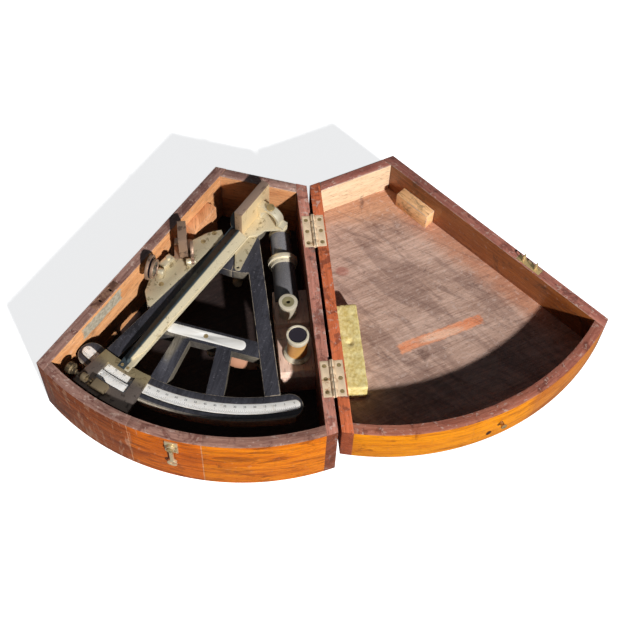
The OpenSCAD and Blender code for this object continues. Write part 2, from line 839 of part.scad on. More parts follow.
module horizon_frame() color(brass)
    at_horizon() difference() {
        union() {
            translate([foot_x[0], -horizon_len / 2 + foot_side, 0])
                cube([foot_x[1] - foot_x[0], horizon_len - 2 * foot_side, foot_t]);
            translate([-horizon_t / 2, -horizon_len / 2, foot_t - eps])
                cube([horizon_t, horizon_len, horizon_h + eps]);
            translate([-horizon_t / 2 - boss_l + over, 0, horizon_h / 2])
                rotate([0, 90, 0]) cylinder(h = boss_l, r = boss_r);
        }
        translate([horizon_t / 2 - mirror_glass_t, -horizon_len / 2 + frame_lip, foot_t + frame_lip])
            cube([far, horizon_len - 2 * frame_lip, horizon_h - 2 * frame_lip]);
    }

module horizon_glass() color(blackened)
    at_horizon() translate([horizon_t / 2 - mirror_glass_t, -horizon_len / 2 + frame_lip, foot_t + frame_lip])
        cube([mirror_glass_t - glass_deep, horizon_len - 2 * frame_lip, horizon_h - 2 * frame_lip]);

// Shades: each turns on a pin that is square to it
shade_eye_r = 3.2;
shade_arm_w = 4.4;
shade_lip = 2.2;
shade_pitch = shade_t + 0.8;
shade_glass_t = shade_t - 1.2;
horizon_shade_pin = [-71.5, -92.3];
index_shade_pin = [horizon_at[0] + 13.7, horizon_at[1] - 15.3];
horizon_lean = -25;
index_lean = 60;

module shade_frame(r, arm) {
    difference() {
        union() {
            cylinder(h = shade_t, r = shade_eye_r);
            translate([-shade_arm_w / 2, 0, 0]) cube([shade_arm_w, arm - r + over, shade_t]);
            translate([0, arm, 0]) cylinder(h = shade_t, r = r);
        }
        translate([0, 0, -over]) cylinder(h = far, r = shade_pin_r + play);
        translate([0, arm, -over]) cylinder(h = far, r = r - shade_lip);
    }
}

module shade_glass(r, arm)
    translate([0, arm, (shade_t - shade_glass_t) / 2]) cylinder(h = shade_glass_t, r = r - shade_lip);

// Stands a shade on the horizon shades' pin, n places out from the bracket
module at_horizon_shade(n) at_inst()
    translate([horizon_shade_pin[0] - gap - n * shade_pitch, horizon_shade_pin[1], pin_z])
        rotate([90, 0, 0]) rotate([0, -90, 0]) rotate([0, 0, horizon_lean]) children();

module at_index_shade() at_inst()
    translate([index_shade_pin[0], index_shade_pin[1], pin_z]) rotate([0, 0, zero_at])
        rotate([90, 0, 0]) rotate([0, 90, 0]) translate([0, 0, gap]) rotate([0, 0, -index_lean]) children();

module near_shade_frame() color(brass) at_horizon_shade(0) shade_frame(shade_r, shade_arm);
module near_shade_glass() color(blackened) at_horizon_shade(0) shade_glass(shade_r, shade_arm);
module far_shade_frame() color(brass) at_horizon_shade(1) shade_frame(big_shade_r, big_arm);
module far_shade_glass() color(blackened) at_horizon_shade(1) shade_glass(big_shade_r, big_arm);
module index_shade_frame() color(brass) at_index_shade() shade_frame(shade_r, shade_arm);
module index_shade_glass() color(blackened) at_index_shade() shade_glass(shade_r, shade_arm);

// Posts on the plate that hold the shades' pins, and the adjuster's low block
post_w = 6;
thin_post_w = post_w - 1;
post_r = 4;
pin_head = [2.6, 1.2];
pin_head_in = 0.1;
small_pin_head = [2.4, 1];
adjuster_at = [-69.2, -77.9];
adjuster = [8, 16, 5.5];
adjuster_from = [-3, -7];
adjuster_stud_at = [1, 4, 5];
adjuster_stud = [2.6, 4];
module shade_posts() color(brass)
    at_inst() {
        translate([horizon_shade_pin[0], horizon_shade_pin[1], 0]) {
            translate([0, -post_r, plate_z]) cube([post_w, 2 * post_r, pin_z - plate_z]);
            translate([0, 0, pin_z]) rotate([0, 90, 0]) cylinder(h = post_w, r = post_r);
            translate([-2 * shade_pitch - gap, 0, pin_z])
                rotate([0, 90, 0]) cylinder(h = 2 * shade_pitch + gap + eps, r = shade_pin_r);
            translate([-2 * shade_pitch - pin_head[1], 0, pin_z]) rotate([0, 90, 0])
                cylinder(h = pin_head[1] + shade_pitch - shade_t - 2 * gap + pin_head_in, r = pin_head[0]);
        }
        translate([index_shade_pin[0], index_shade_pin[1], 0]) rotate([0, 0, zero_at]) {
            translate([-thin_post_w, -post_r, plate_z])
                cube([thin_post_w, 2 * post_r, pin_z - plate_z]);
            translate([-thin_post_w, 0, pin_z])
                rotate([0, 90, 0]) cylinder(h = thin_post_w, r = post_r);
            translate([-eps, 0, pin_z]) rotate([0, 90, 0])
                cylinder(h = shade_t + 2 * gap + small_pin_head[1] + eps, r = shade_pin_r);
            translate([shade_t + 2 * gap, 0, pin_z])
                rotate([0, 90, 0]) cylinder(h = small_pin_head[1], r = small_pin_head[0]);
        }
        translate([adjuster_at[0], adjuster_at[1], plate_z]) rotate([0, 0, -limb_half]) {
            translate([adjuster_from[0], adjuster_from[1], 0]) cube(adjuster);
            translate(adjuster_stud_at) cylinder(h = adjuster_stud[1], r = adjuster_stud[0]);
        }
    }

// Turned feet and the handle's posts, below the frame
feet_at = [[0, 48], [-limb_half, 190], [limb_half, 190]];
foot_bottom_r = 5.5;
foot_bottom_h = 3;
foot_waist_z = 7;
foot_waist_r = [3.4, 3];
foot_neck_r = 4.4;
foot_top_r = 6.4;
foot_top_h = [9, 6, 3];
handle_x = [5, 61];
handle_z = 29;
handle_post_r = 4;
grip_r = 10;
grip_end_r = 6.5;
grip_swell_r = 8.6;
grip_taper = 6;
grip_end = handle_post_r + 2;
grip_room = handle_x[1] - handle_x[0];
tenon_r = 3;
handle_flange_r = handle_post_r + 3;
handle_flange_h = 3;
handle_ball_r = handle_post_r + 1.5;
module back_posts() color(brass)
    at_inst() {
        for (f = feet_at) translate(concat(polar(f[1], f[0]), [floor_t])) rotate_extrude() polygon([
            [0, 0], [foot_bottom_r, 0], [foot_bottom_r, foot_bottom_h],
            [foot_waist_r[0], foot_waist_z], [foot_waist_r[1], post_h - foot_top_h[0]],
            [foot_neck_r, post_h - foot_top_h[1]], [foot_top_r, post_h - foot_top_h[2]],
            [foot_top_r, post_h], [0, post_h]
        ]);
        for (x = handle_x) translate([x, -crossbar_y, 0]) {
            translate([0, 0, handle_z]) cylinder(h = frame_z - handle_z, r = handle_post_r);
            translate([0, 0, frame_z - handle_flange_h]) cylinder(h = handle_flange_h, r = handle_flange_r);
            translate([0, 0, handle_z]) sphere(r = handle_ball_r);
        }
        translate([handle_x[0], -crossbar_y, handle_z])
            rotate([0, 90, 0]) cylinder(h = grip_room, r = tenon_r);
    }

module handle_grip() color(redwood)
    at_inst() translate([handle_x[0], -crossbar_y, handle_z]) rotate([0, 90, 0]) rotate_extrude() polygon([
        [tenon_r, grip_end], [grip_end_r, grip_end], [grip_swell_r, grip_end + grip_taper],
        [grip_r, grip_room / 2], [grip_swell_r, grip_room - grip_end - grip_taper],
        [grip_end_r, grip_room - grip_end], [tenon_r, grip_room - grip_end]
    ]);

// Ridge along the index arm: two flanks that meet in a crest, narrowing to a point
ridge_crest = 0.8;
ridge_half = arm_half_top - ridge_margin;
ridge_tip = 20;
ridge_end = 1;
module ridge()
    intersection() {
        translate([0, mirror_shift - mirror_len / 2 - gap, arm_top])
            rotate([90, 0, 0]) linear_extrude(plate_in) polygon([
                [-ridge_half, -eps], [-ridge_crest, ridge_h], [ridge_crest, ridge_h], [ridge_half, -eps]
            ]);
        translate([0, 0, arm_top - over]) linear_extrude(2 * ridge_h) polygon([
            [-ridge_half, 0], [ridge_half, 0],
            [arm_half(plate_in - ridge_tip) - ridge_margin, -plate_in + ridge_tip],
            [0, -plate_in + ridge_end],
            [ridge_margin - arm_half(plate_in - ridge_tip), -plate_in + ridge_tip]
        ]);
    }

// Index arm in its own frame, lying along -Y
head_blend = [3, 1];
module index_arm() color(brass)
    at_arm() difference() {
        union() {
            translate([0, 0, arm_z]) linear_extrude(arm_t) union() {
                circle(r = head_r);
                polygon([
                    [-arm_half_top, 0], [arm_half_top, 0],
                    [arm_half_end, -plate_in - tongue], [-arm_half_end, -plate_in - tongue]
                ]);
                polygon([
                    [0, -head_r + head_blend[0]], [bracket_x, bracket_y - bracket_foot_r],
                    [bracket_x, bracket_y + bracket_foot_r], [0, head_r - head_blend[1]]
                ]);
                translate([bracket_x, bracket_y]) circle(r = bracket_foot_r);
            }
            ridge();
        }
        translate([0, 0, arm_z - over]) cylinder(h = far, r = axle_r);
        arm_screw_places() arm_screw_hole();
    }

tongue_screw = [3.4, 3.2];
small_head_r = 1.8;
small_head_h = 1;
small_shank_r = 0.9;
small_shank_l = 2.2;
small_screw_turn = 40;
module arm_screw_places()
    for (side = [-1, 1])
        translate([side * tongue_screw[0], -plate_in - tongue_screw[1], arm_top]) children();

module arm_screw_hole()
    screw_hole(small_head_r, small_head_h, small_shank_r, small_shank_l, screw_play);

axle_nut_r = axle_r + 4;
axle_nut_h = 4;
module arm_axle() color(brass)
    at_arm() {
        translate([0, 0, frame_z - over]) cylinder(h = arm_top - frame_z + over, r = axle_r);
        translate([0, 0, frame_z - gap - axle_nut_h]) cylinder(h = axle_nut_h, r = axle_nut_r);
    }

// End plate with its window, the vernier's pocket, the screw's bearings and the clamp
bearing_x = [-12, 3];
bearing_w = 10;
bearing_h = 7.4;
bearing_foot = [8, 9, 1.6];
bearing_foot_out = 6;
ring_x = -23.7;
ring_w = 5;
ring_r = 4.2;
clamp_leg_out = 9;
clamp_leg_t = 7.6;
clamp_past = 7;
clamp_low = frame_z - clamp_drop - clamp_t;
window_split = 0.2;
plate_t_end = arm_top - plate_z0;
module vernier_plate() color(tarnish)
    at_arm() difference() {
        union() {
            translate([0, 0, plate_z0])
                linear_extrude(plate_t_end) ring_sector(plate_in, arm_end_r, plate_half);
            translate([bearing_x[0], -screw_y - bearing_w / 2, arm_top - eps])
                cube([bearing_x[1] - bearing_x[0], bearing_w, bearing_h]);
            translate([bearing_x[0] - bearing_foot_out, -screw_y - bearing_foot[1] / 2, arm_top - eps])
                cube(bearing_foot);
            translate([ring_x - ring_w / 2, -screw_y - ring_r, arm_top - eps])
                cube([ring_w, 2 * ring_r, screw_z - arm_top]);
            translate([ring_x - ring_w / 2, -screw_y, screw_z])
                rotate([0, 90, 0]) cylinder(h = ring_w, r = ring_r);
            translate([-clamp_w / 2, -arc_out - clamp_leg_out, clamp_low])
                cube([clamp_w, clamp_leg_t, plate_z0 - clamp_low + eps]);
            translate([-clamp_w / 2, -arc_out - clamp_leg_out, clamp_low])
                cube([clamp_w, arc_out + clamp_leg_out - clamp_y + clamp_past, clamp_t]);
        }
        translate([0, 0, plate_z0 - over])
            linear_extrude(far) ring_sector(window_in, scale_r + window_split, window_half);
        translate([0, 0, plate_z0 + pocket_floor])
            linear_extrude(far) ring_sector(scale_r, window_out, window_half);
        translate([0, 0, arm_z]) tongue_cut();
        translate([-far, -screw_y, screw_z])
            rotate([0, 90, 0]) cylinder(h = 2 * far, r = thread_r + play);
        translate([0, -clamp_y, 0]) cylinder(h = frame_z, r = thread_r + play);
        arm_screw_places() arm_screw_hole();
        vernier_pin_places() cylinder(h = far, r = vernier_pin_r);
    }

// The tongue's own outline, let into the end plate
module tongue_cut()
    linear_extrude(far) polygon([
        [-arm_half(plate_in - over), -plate_in + over], [arm_half(plate_in - over), -plate_in + over],
        [arm_half_end, -plate_in - tongue], [-arm_half_end, -plate_in - tongue]
    ]);

vernier_t = 1.5;
vernier_in = scale_r + 0.3;
vernier_pin_at = [scale_r + 5.5, 0.86 * window_half];
vernier_pin_r = 0.6;
vernier_pin_low = 0.3;
module vernier_pin_places()
    for (side = [-1, 1])
        translate(concat(polar(vernier_pin_at[0], side * vernier_pin_at[1]), [plate_z0 + vernier_pin_low]))
            children();

module vernier() color(bone)
    at_arm() difference() {
        translate([0, 0, plate_z0 + pocket_floor])
            linear_extrude(vernier_t) ring_sector(vernier_in, window_out, window_half);
        vernier_pin_places() cylinder(h = far, r = vernier_pin_r);
    }

// Index mirror and its bracket
module at_index_mirror() at_arm() translate([0, mirror_shift, arm_top]) children();

module index_mirror_frame() color(brass)
    at_index_mirror() difference() {
        translate([-mirror_t / 2, -mirror_len / 2, 0]) cube([mirror_t, mirror_len, mirror_h]);
        translate([-far - mirror_t / 2 + mirror_glass_t, -mirror_len / 2 + frame_lip, frame_lip])
            cube([far, mirror_len - 2 * frame_lip, mirror_h - 2 * frame_lip]);
    }

module index_mirror_glass() color(blackened)
    at_index_mirror() translate([-mirror_t / 2 + glass_deep, -mirror_len / 2 + frame_lip, frame_lip])
        cube([mirror_glass_t - glass_deep, mirror_len - 2 * frame_lip, mirror_h - 2 * frame_lip]);

// Arched bracket behind the mirror: outline in the plane across the arm
arch_x = 18.5;
arch_r = 13.5;
arch_t = 3.5;
arch_base = 6;
bracket_foot_in = 2;
bracket_slot = [3, 8];
adjust_r = 2;
adjust_in = 2;
adjust_out = 1;
adjust_head = [4.2, 2.4];
module mirror_bracket() color(brass)
    at_arm() translate([0, bracket_y + bracket_w / 2, 0]) rotate([90, 0, 0]) difference() {
        linear_extrude(bracket_w) difference() {
            union() {
                translate([arch_x, arm_top + arch_base]) circle(r = arch_r);
                translate([mirror_t / 2, arm_top]) square([arch_x - mirror_t / 2, arch_r + arch_base]);
                translate([mirror_t / 2, arm_top])
                    square([bracket_x + bracket_foot_r - mirror_t / 2 - bracket_foot_in, arch_t]);
            }
            translate([arch_x, arm_top + arch_base]) circle(r = arch_r - arch_t);
            translate([arch_x - arch_r + arch_t, arm_top - eps])
                square([2 * (arch_r - arch_t), arch_base]);
            translate([mirror_t / 2 - over, arm_top - far]) square([far, far]);
            translate([mirror_t / 2 + arch_t, arm_top + arch_t]) square(bracket_slot);
        }
        translate([arch_x, far / 2, bracket_w / 2]) rotate([90, 0, 0]) cylinder(h = far, r = adjust_r);
    }

module arm_screws() color(brass)
    at_arm() {
        arm_screw_places() rotate([0, 0, small_screw_turn])
            screw(small_head_r, small_head_h, small_shank_r, small_shank_l);
        vernier_pin_places() cylinder(h = pocket_floor - vernier_pin_low + vernier_t, r = vernier_pin_r);
        translate([arch_x, bracket_y, arm_top + arch_base + arch_r - arch_t - adjust_in]) {
            cylinder(h = adjust_in + arch_t + adjust_out, r = adjust_r);
            translate([0, 0, adjust_in + arch_t + adjust_out])
                cylinder(h = adjust_head[1], r = adjust_head[0]);
        }
    }

knob_past = 3.5;
knob_l = 7;
knob_bevel = 1;
knob_neck_r = [3, 2.6];
knob_neck_l = [0.5, 4];
thread_end = 1;
thread_collar = [3, 1.4];
module tangent_screw() color(brass)
    at_arm() translate([0, -screw_y, screw_z]) {
        translate([-knob_x, 0, 0])
            rotate([0, 90, 0]) cylinder(h = knob_x + bearing_x[1] - thread_end, r = thread_r);
        translate([-knob_x - knob_past, 0, 0]) rotate([0, 90, 0]) rotate_extrude() polygon([
            [0, 0], [knob_r - knob_bevel, 0], [knob_r, knob_bevel],
            [knob_r, knob_l - knob_bevel], [knob_r - knob_bevel, knob_l],
            [knob_neck_r[0], knob_l + knob_neck_l[0]], [knob_neck_r[1], knob_l + knob_neck_l[1]],
            [0, knob_l + knob_neck_l[1]]
        ]);
        translate([ring_x + ring_w / 2 + gap, 0, 0])
            rotate([0, 90, 0]) cylinder(h = thread_collar[1], r = thread_collar[0]);
    }

clamp_head = [6.5, 7];
clamp_neck = [3, 4];
clamp_cone_h = 3;
module clamp_screw() color(brass)
    at_arm() translate([0, -clamp_y, clamp_low - clamp_neck[1]]) {
        cylinder(h = clamp_neck[1] + clamp_t + clamp_drop - gap, r = thread_r);
        translate([0, 0, -clamp_head[1]]) cylinder(h = clamp_head[1], r = clamp_head[0]);
        cylinder(h = clamp_cone_h, r1 = clamp_head[0], r2 = clamp_neck[0]);
    }

// Telescope, its draw tube and its glasses, all turned about one axis
module at_tele() translate([tele_x, 0, tele_z]) rotate([-90, 0, 0]) children();
tele_bore = draw_d / 2 + play;
tube_stub = 1.5;
module telescope_tube() color(blackened)
    at_tele() difference() {
        translate([0, 0, tele_front])
            cylinder(h = collar_y + collar_t + tube_stub - tele_front, r = tele_d / 2);
        translate([0, 0, tele_front - over]) cylinder(h = far, r = tele_bore);
    }

sleeve_wall = 1.2;
sleeve_l = 5;
module telescope_collar() color(brass)
    at_tele() difference() {
        union() {
            translate([0, 0, collar_y]) cylinder(h = collar_t, r = collar_d / 2);
            translate([0, 0, collar_y - sleeve_l]) cylinder(h = sleeve_l + eps, r = tele_d / 2 + sleeve_wall);
        }
        translate([0, 0, collar_y - sleeve_l - over]) cylinder(h = far, r = tele_d / 2);
    }

eye_end_t = 2;
eye_hole_r = 4.5;
module draw_tube() color(blackened)
    at_tele() difference() {
        union() {
            translate([0, 0, tele_back - draw_out - draw_in])
                cylinder(h = draw_out + draw_in, r = draw_d / 2);
            translate([0, 0, tele_back - draw_rim_l]) cylinder(h = draw_rim_l, r = draw_rim_r);
        }
        translate([0, 0, tele_back - far]) cylinder(h = far - eye_end_t, r = draw_d / 2 - draw_wall);
        translate([0, 0, tele_back - eye_end_t - over]) cylinder(h = far, r = eye_hole_r);
    }

lens_t = 4;
lens_in = 2;
module telescope_lens() color(clearglass)
    at_tele() translate([0, 0, tele_front + lens_in]) cylinder(h = lens_t, r = tele_bore);

sight_top = block_z + 22;
sight_rim = [0.8, 4];
sight_wall = 1.2;
sight_end_t = 2;
sight_hole_r = 2;
module sight_tube() color(brass)
    translate([sight_at[0], sight_at[1], 0]) difference() {
        union() {
            translate([0, 0, hole_z]) cylinder(h = sight_top - hole_z, r = sight_d / 2);
            translate([0, 0, sight_top - sight_rim[1]])
                cylinder(h = sight_rim[1], r = sight_d / 2 + sight_rim[0]);
        }
        translate([0, 0, hole_z - over])
            cylinder(h = sight_top - sight_end_t - hole_z + over, r = sight_d / 2 - sight_wall);
        cylinder(h = far, r = sight_hole_r);
    }

eyepiece_top = block_front_z + 38;
eyepiece_flange_r = 14;
eyepiece_flange_h = 2.4;
eyepiece_body_r = 10.4;
eyepiece_body_low = 4;
eyepiece_rim_r = 11.5;
eyepiece_rim_h = [8, 6];
eyepiece_wall = 2;
eyepiece_cup = 3;
eyepiece_end = 6;
eyepiece_glass_r = 9.3;
eyepiece_glass_t = 2;
module eyepiece() color(blackened)
    translate([eyepiece_at[0], eyepiece_at[1], 0]) difference() {
        rotate_extrude() polygon([
            [0, hole_z], [eyepiece_d / 2, hole_z], [eyepiece_d / 2, block_front_z],
            [eyepiece_flange_r, block_front_z], [eyepiece_flange_r, block_front_z + eyepiece_flange_h],
            [eyepiece_body_r, block_front_z + eyepiece_body_low],
            [eyepiece_body_r, eyepiece_top - eyepiece_rim_h[0]],
            [eyepiece_rim_r, eyepiece_top - eyepiece_rim_h[1]], [eyepiece_rim_r, eyepiece_top],
            [0, eyepiece_top]
        ]);
        translate([0, 0, hole_z - over])
            cylinder(h = eyepiece_top - eyepiece_end - hole_z + over, r = eyepiece_d / 2 - eyepiece_wall);
        translate([0, 0, eyepiece_top - eyepiece_cup]) cylinder(h = far, r = eyepiece_glass_r);
    }

module eyepiece_glass() color(darkglass)
    translate([eyepiece_at[0], eyepiece_at[1], eyepiece_top - eyepiece_cup])
        cylinder(h = eyepiece_glass_t, r = eyepiece_glass_r);

base_hinge_wall();
base_back_wall();
base_lock_wall();
base_curved_front();
base_floor();
base_blocks();
base_hinge_leaves();
hinge_pins();
base_screws();
lock_case();
lock_bolt();
latch_plate();
latch_hook();
lid_hinge_wall();
lid_back_wall();
lid_lock_wall();
lid_curved_front();
lid_board();
lid_block();
lid_pad();
lid_hinge_leaves();
lid_screws();
striker_plate();
left_limb();
right_limb();
frame_braces();
frame_arc();
arc_scale();
note_plate();
frame_screws();
pivot_bush();
mount_plate();
horizon_frame();
horizon_glass();
shade_posts();
near_shade_frame();
near_shade_glass();
far_shade_frame();
far_shade_glass();
index_shade_frame();
index_shade_glass();
back_posts();
handle_grip();
index_arm();
arm_axle();
vernier_plate();
vernier();
index_mirror_frame();
index_mirror_glass();
mirror_bracket();
arm_screws();
tangent_screw();
clamp_screw();
telescope_tube();
telescope_collar();
draw_tube();
telescope_lens();
sight_tube();
eyepiece();
eyepiece_glass();
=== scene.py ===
"""Looks of an ebony framed sextant lying in its open fan shaped case."""

import json
import logging
import math
from dataclasses import dataclass, field
from enum import Enum
from typing import Callable, Sequence

import bmesh
import bpy
from mathutils import Matrix, Vector, noise


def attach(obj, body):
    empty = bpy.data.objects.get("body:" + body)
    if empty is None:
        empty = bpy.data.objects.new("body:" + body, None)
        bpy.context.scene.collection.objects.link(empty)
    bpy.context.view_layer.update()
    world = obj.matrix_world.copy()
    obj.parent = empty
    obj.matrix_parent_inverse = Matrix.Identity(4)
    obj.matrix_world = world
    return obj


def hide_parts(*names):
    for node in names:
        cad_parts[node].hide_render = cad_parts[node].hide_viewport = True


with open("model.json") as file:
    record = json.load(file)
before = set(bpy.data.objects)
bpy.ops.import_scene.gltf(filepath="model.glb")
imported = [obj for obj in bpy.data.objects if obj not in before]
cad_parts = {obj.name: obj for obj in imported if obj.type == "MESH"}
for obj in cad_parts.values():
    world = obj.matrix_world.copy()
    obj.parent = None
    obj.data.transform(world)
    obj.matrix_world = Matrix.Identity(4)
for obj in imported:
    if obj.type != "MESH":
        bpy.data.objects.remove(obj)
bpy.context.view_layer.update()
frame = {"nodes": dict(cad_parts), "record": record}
log = logging.getLogger("sextant")

Colour = str | tuple[float, float, float]
Socket = bpy.types.NodeSocket
Sockets = bpy.types.bpy_prop_collection
Value = Socket | float | Colour | Sequence[float]
MM = 0.001
RAGGED_SCALE = 95.0


def paint(colour: Colour) -> tuple[float, float, float]:
    """Turns a colour into linear light.

    Args:
        colour: two hex digits each for red, green and blue, or the linear values themselves.

    Returns:
        The three values from 0 to 1 that a shader takes.
    """
    if not isinstance(colour, str):
        return colour
    parts = [int(colour[i:i + 2], 16) / 255 for i in (0, 2, 4)]
    return tuple(p / 12.92 if p <= 0.04045 else ((p + 0.055) / 1.055) ** 2.4 for p in parts)


@dataclass(frozen=True)
class Layout:
    """Driving sizes of the object, in millimetres and degrees, as the frame was built."""

    inst_turn: float = 21.6
    arm_turn: float = 39.0
    case_turn: float = 19.7
    arc_out: float = 242.0
    scale_out: float = 234.0
    scale_start: float = 28.5
    scale_top: float = 57.3
    vernier_top: float = 59.9
    numeral_r: float = 226.3
    numeral_size: float = 3.1
    back_half: float = 51.45
    back_y: float = 48.0
    wall: float = 11.4
    hinge_x: float = 66.32
    knob_x: float = 41.0
    screw_y: float = 253.0
    screw_z: float = 66.2
    knob_r: float = 7.1
    hinge_gap: float = 0.64

    def inst(self) -> Matrix:
        """Frame of the instrument: its centre line runs along -Y."""
        return Matrix.Rotation(-math.radians(self.inst_turn), 4, "Z")

    def arm(self) -> Matrix:
        """Frame of the index arm, as stowed."""
        return Matrix.Rotation(-math.radians(self.arm_turn), 4, "Z")

    def case(self) -> Matrix:
        """Frame of the case: its centre line runs along -Y."""
        return Matrix.Rotation(-math.radians(self.case_turn), 4, "Z")

    def lock_wall(self) -> Matrix:
        """Frame of the lock wall: X along it from the back corner, Y into the case."""
        corner = Matrix.Translation((-self.back_half * MM, self.back_y * MM, 0))
        return self.case() @ corner @ Matrix.Rotation(-math.radians(90 + self.case_turn), 4, "Z")


LAYOUT = Layout()


@dataclass(frozen=True)
class Shade:
    """Lays out one node tree."""

    tree: bpy.types.NodeTree

    def add(self, kind: str, **settings: object) -> bpy.types.Node:
        """Adds a node and sets its properties."""
        node = self.tree.nodes.new(kind)
        for key, value in settings.items():
            setattr(node, key, value)
        return node

    def feed(self, socket: Socket, source: Value) -> None:
        """Links a socket to a source, or sets it to a constant."""
        if isinstance(source, Socket):
            self.tree.links.new(source, socket)
        else:
            socket.default_value = source

    def math(self, operation: str, a: Value, b: Value = 0.0, clamp: bool = False) -> Socket:
        """Adds a Math node and returns its value."""
        node = self.add("ShaderNodeMath", operation=operation, use_clamp=clamp)
        self.feed(node.inputs[0], a)
        self.feed(node.inputs[1], b)
        return node.outputs[0]

    def times(self, a: Value, b: Value) -> Socket:
        """Multiplies two numbers."""
        return self.math("MULTIPLY", a, b)

    def plus(self, a: Value, b: Value) -> Socket:
        """Adds two numbers."""
        return self.math("ADD", a, b)

    def minus(self, a: Value, b: Value) -> Socket:
        """Takes the second number from the first."""
        return self.math("SUBTRACT", a, b)

    def larger(self, a: Value, b: Value) -> Socket:
        """The larger of two numbers."""
        return self.math("MAXIMUM", a, b)

    def step(self, value: Value, low: float, high: float) -> Socket:
        """A smooth step from 0 at low to 1 at high."""
        node = self.add("ShaderNodeMapRange", interpolation_type="SMOOTHSTEP")
        self.feed(node.inputs["Value"], value)
        node.inputs["From Min"].default_value = low
        node.inputs["From Max"].default_value = high
        return node.outputs["Result"]

    def mix(self, factor: Value, a: Value, b: Value, blend: str = "MIX") -> Socket:
        """Mixes two colours.

        Args:
            factor: share of the second colour, a number or a socket.
            a: first colour or socket.
            b: second colour or socket.
            blend: the Mix node's blend type.

        Returns:
            The mixed colour's socket.
        """
        node = self.add("ShaderNodeMix", data_type="RGBA", blend_type=blend)
        self.feed(node.inputs[0], factor)
        for socket, source in ((node.inputs[6], a), (node.inputs[7], b)):
            self.feed(socket, source if isinstance(source, Socket) else (*paint(source), 1.0))
        return node.outputs[2]

    def blend(self, factor: Value, a: Value, b: Value) -> Socket:
        """Mixes two numbers."""
        node = self.add("ShaderNodeMix", data_type="FLOAT")
        self.feed(node.inputs[0], factor)
        self.feed(node.inputs[2], a)
        self.feed(node.inputs[3], b)
        return node.outputs[0]

    def stretch(self, vector: Value, factors: Sequence[float]) -> Socket:
        """Multiplies a vector by one factor for each axis."""
        node = self.add("ShaderNodeVectorMath", operation="MULTIPLY")
        self.feed(node.inputs[0], vector)
        node.inputs[1].default_value = factors
        return node.outputs[0]

    def scaled(self, vector: Value, factor: Value) -> Socket:
        """Multiplies a vector by one number."""
        node = self.add("ShaderNodeVectorMath", operation="SCALE")
        self.feed(node.inputs[0], vector)
        self.feed(node.inputs["Scale"], factor)
        return node.outputs[0]

    def placed(self, vector: Value, centre: Sequence[float], turn: Sequence[float],
               size: Sequence[float] = (1, 1, 1)) -> Socket:
        """Reads a vector in a frame that is moved, turned and scaled."""
        node = self.add("ShaderNodeMapping", vector_type="TEXTURE")
        self.feed(node.inputs["Vector"], vector)
        node.inputs["Location"].default_value = centre
        node.inputs["Rotation"].default_value = turn
        node.inputs["Scale"].default_value = size
        return node.outputs[0]

    def noise(self, vector: Value, scale: Value, detail: float = 3.0, rough: float = 0.55,
              twist: float = 0.0) -> Socket:
        """Adds a Noise texture and returns its value."""
        node = self.add("ShaderNodeTexNoise")
        self.feed(node.inputs["Vector"], vector)
        self.feed(node.inputs["Scale"], scale)
        node.inputs["Detail"].default_value = detail
        node.inputs["Roughness"].default_value = rough
        node.inputs["Distortion"].default_value = twist
        return node.outputs["Fac"]

    def edge(self) -> Socket:
        """Reads the attribute that marks a piece's rounded edges."""
        return self.add("ShaderNodeAttribute", attribute_name="edge").outputs["Fac"]

    def fed(self, node: bpy.types.Node, inputs: dict[str, Value]) -> Sockets:
        """Feeds a node's inputs, whose names have underscores here, and returns its outputs."""
        for key, source in inputs.items():
            self.feed(node.inputs[key.replace("_", " ")], source)
        return node.outputs

    def wired(self, kind: str, **inputs: Value) -> Sockets:
        """Adds a node with its inputs fed."""
        return self.fed(self.add(kind), inputs)

    def use(self, group: bpy.types.NodeTree, **inputs: Value) -> Sockets:
        """Places a node group with its inputs fed."""
        return self.fed(self.add("ShaderNodeGroup", node_tree=group), inputs)


def shader_group(name: str, inputs: dict[str, str], outputs: Sequence[str],
                 build: Callable[[Shade, Sockets, Sockets], None]) -> bpy.types.NodeTree:
    """Makes a shader node group.

    Args:
        name: the group's name.
        inputs: socket type for each input's name.
        outputs: names of the outputs, all numbers.
        build: lays out the tree, from what the group is given to what it gives out.

    Returns:
        The finished group.
    """
    tree = bpy.data.node_groups.new(name, "ShaderNodeTree")
    for key, kind in inputs.items():
        tree.interface.new_socket(key, in_out="INPUT", socket_type=kind)
    for key in outputs:
        tree.interface.new_socket(key, in_out="OUTPUT", socket_type="NodeSocketFloat")
    build(Shade(tree), tree.nodes.new("NodeGroupInput").outputs, tree.nodes.new("NodeGroupOutput").inputs)
    return tree


def build_timber(s: Shade, given: Sockets, out: Sockets) -> None:
    """Figure, fibre and pores of timber whose grain runs along X."""
    vector = given["Vector"]
    wide = s.scaled(s.stretch(vector, (1.0, 6.0, 6.0)), given["Figure Scale"])
    s.feed(out["Figure"], s.step(s.noise(wide, 1.0, 4.0, 0.6, 0.9), 0.3, 0.7))
    fine = s.scaled(s.stretch(vector, (1.0, 16.0, 16.0)), given["Fibre Scale"])
    s.feed(out["Fibre"], s.step(s.noise(fine, 1.0, 5.0, 0.65, 0.2), 0.25, 0.75))
    dashes = s.scaled(s.stretch(vector, (1.0, 11.0, 11.0)), s.times(given["Fibre Scale"], 7.0))
    s.feed(out["Pores"], s.step(s.noise(dashes, 1.0, 1.0, 0.4), 0.62, 0.72))


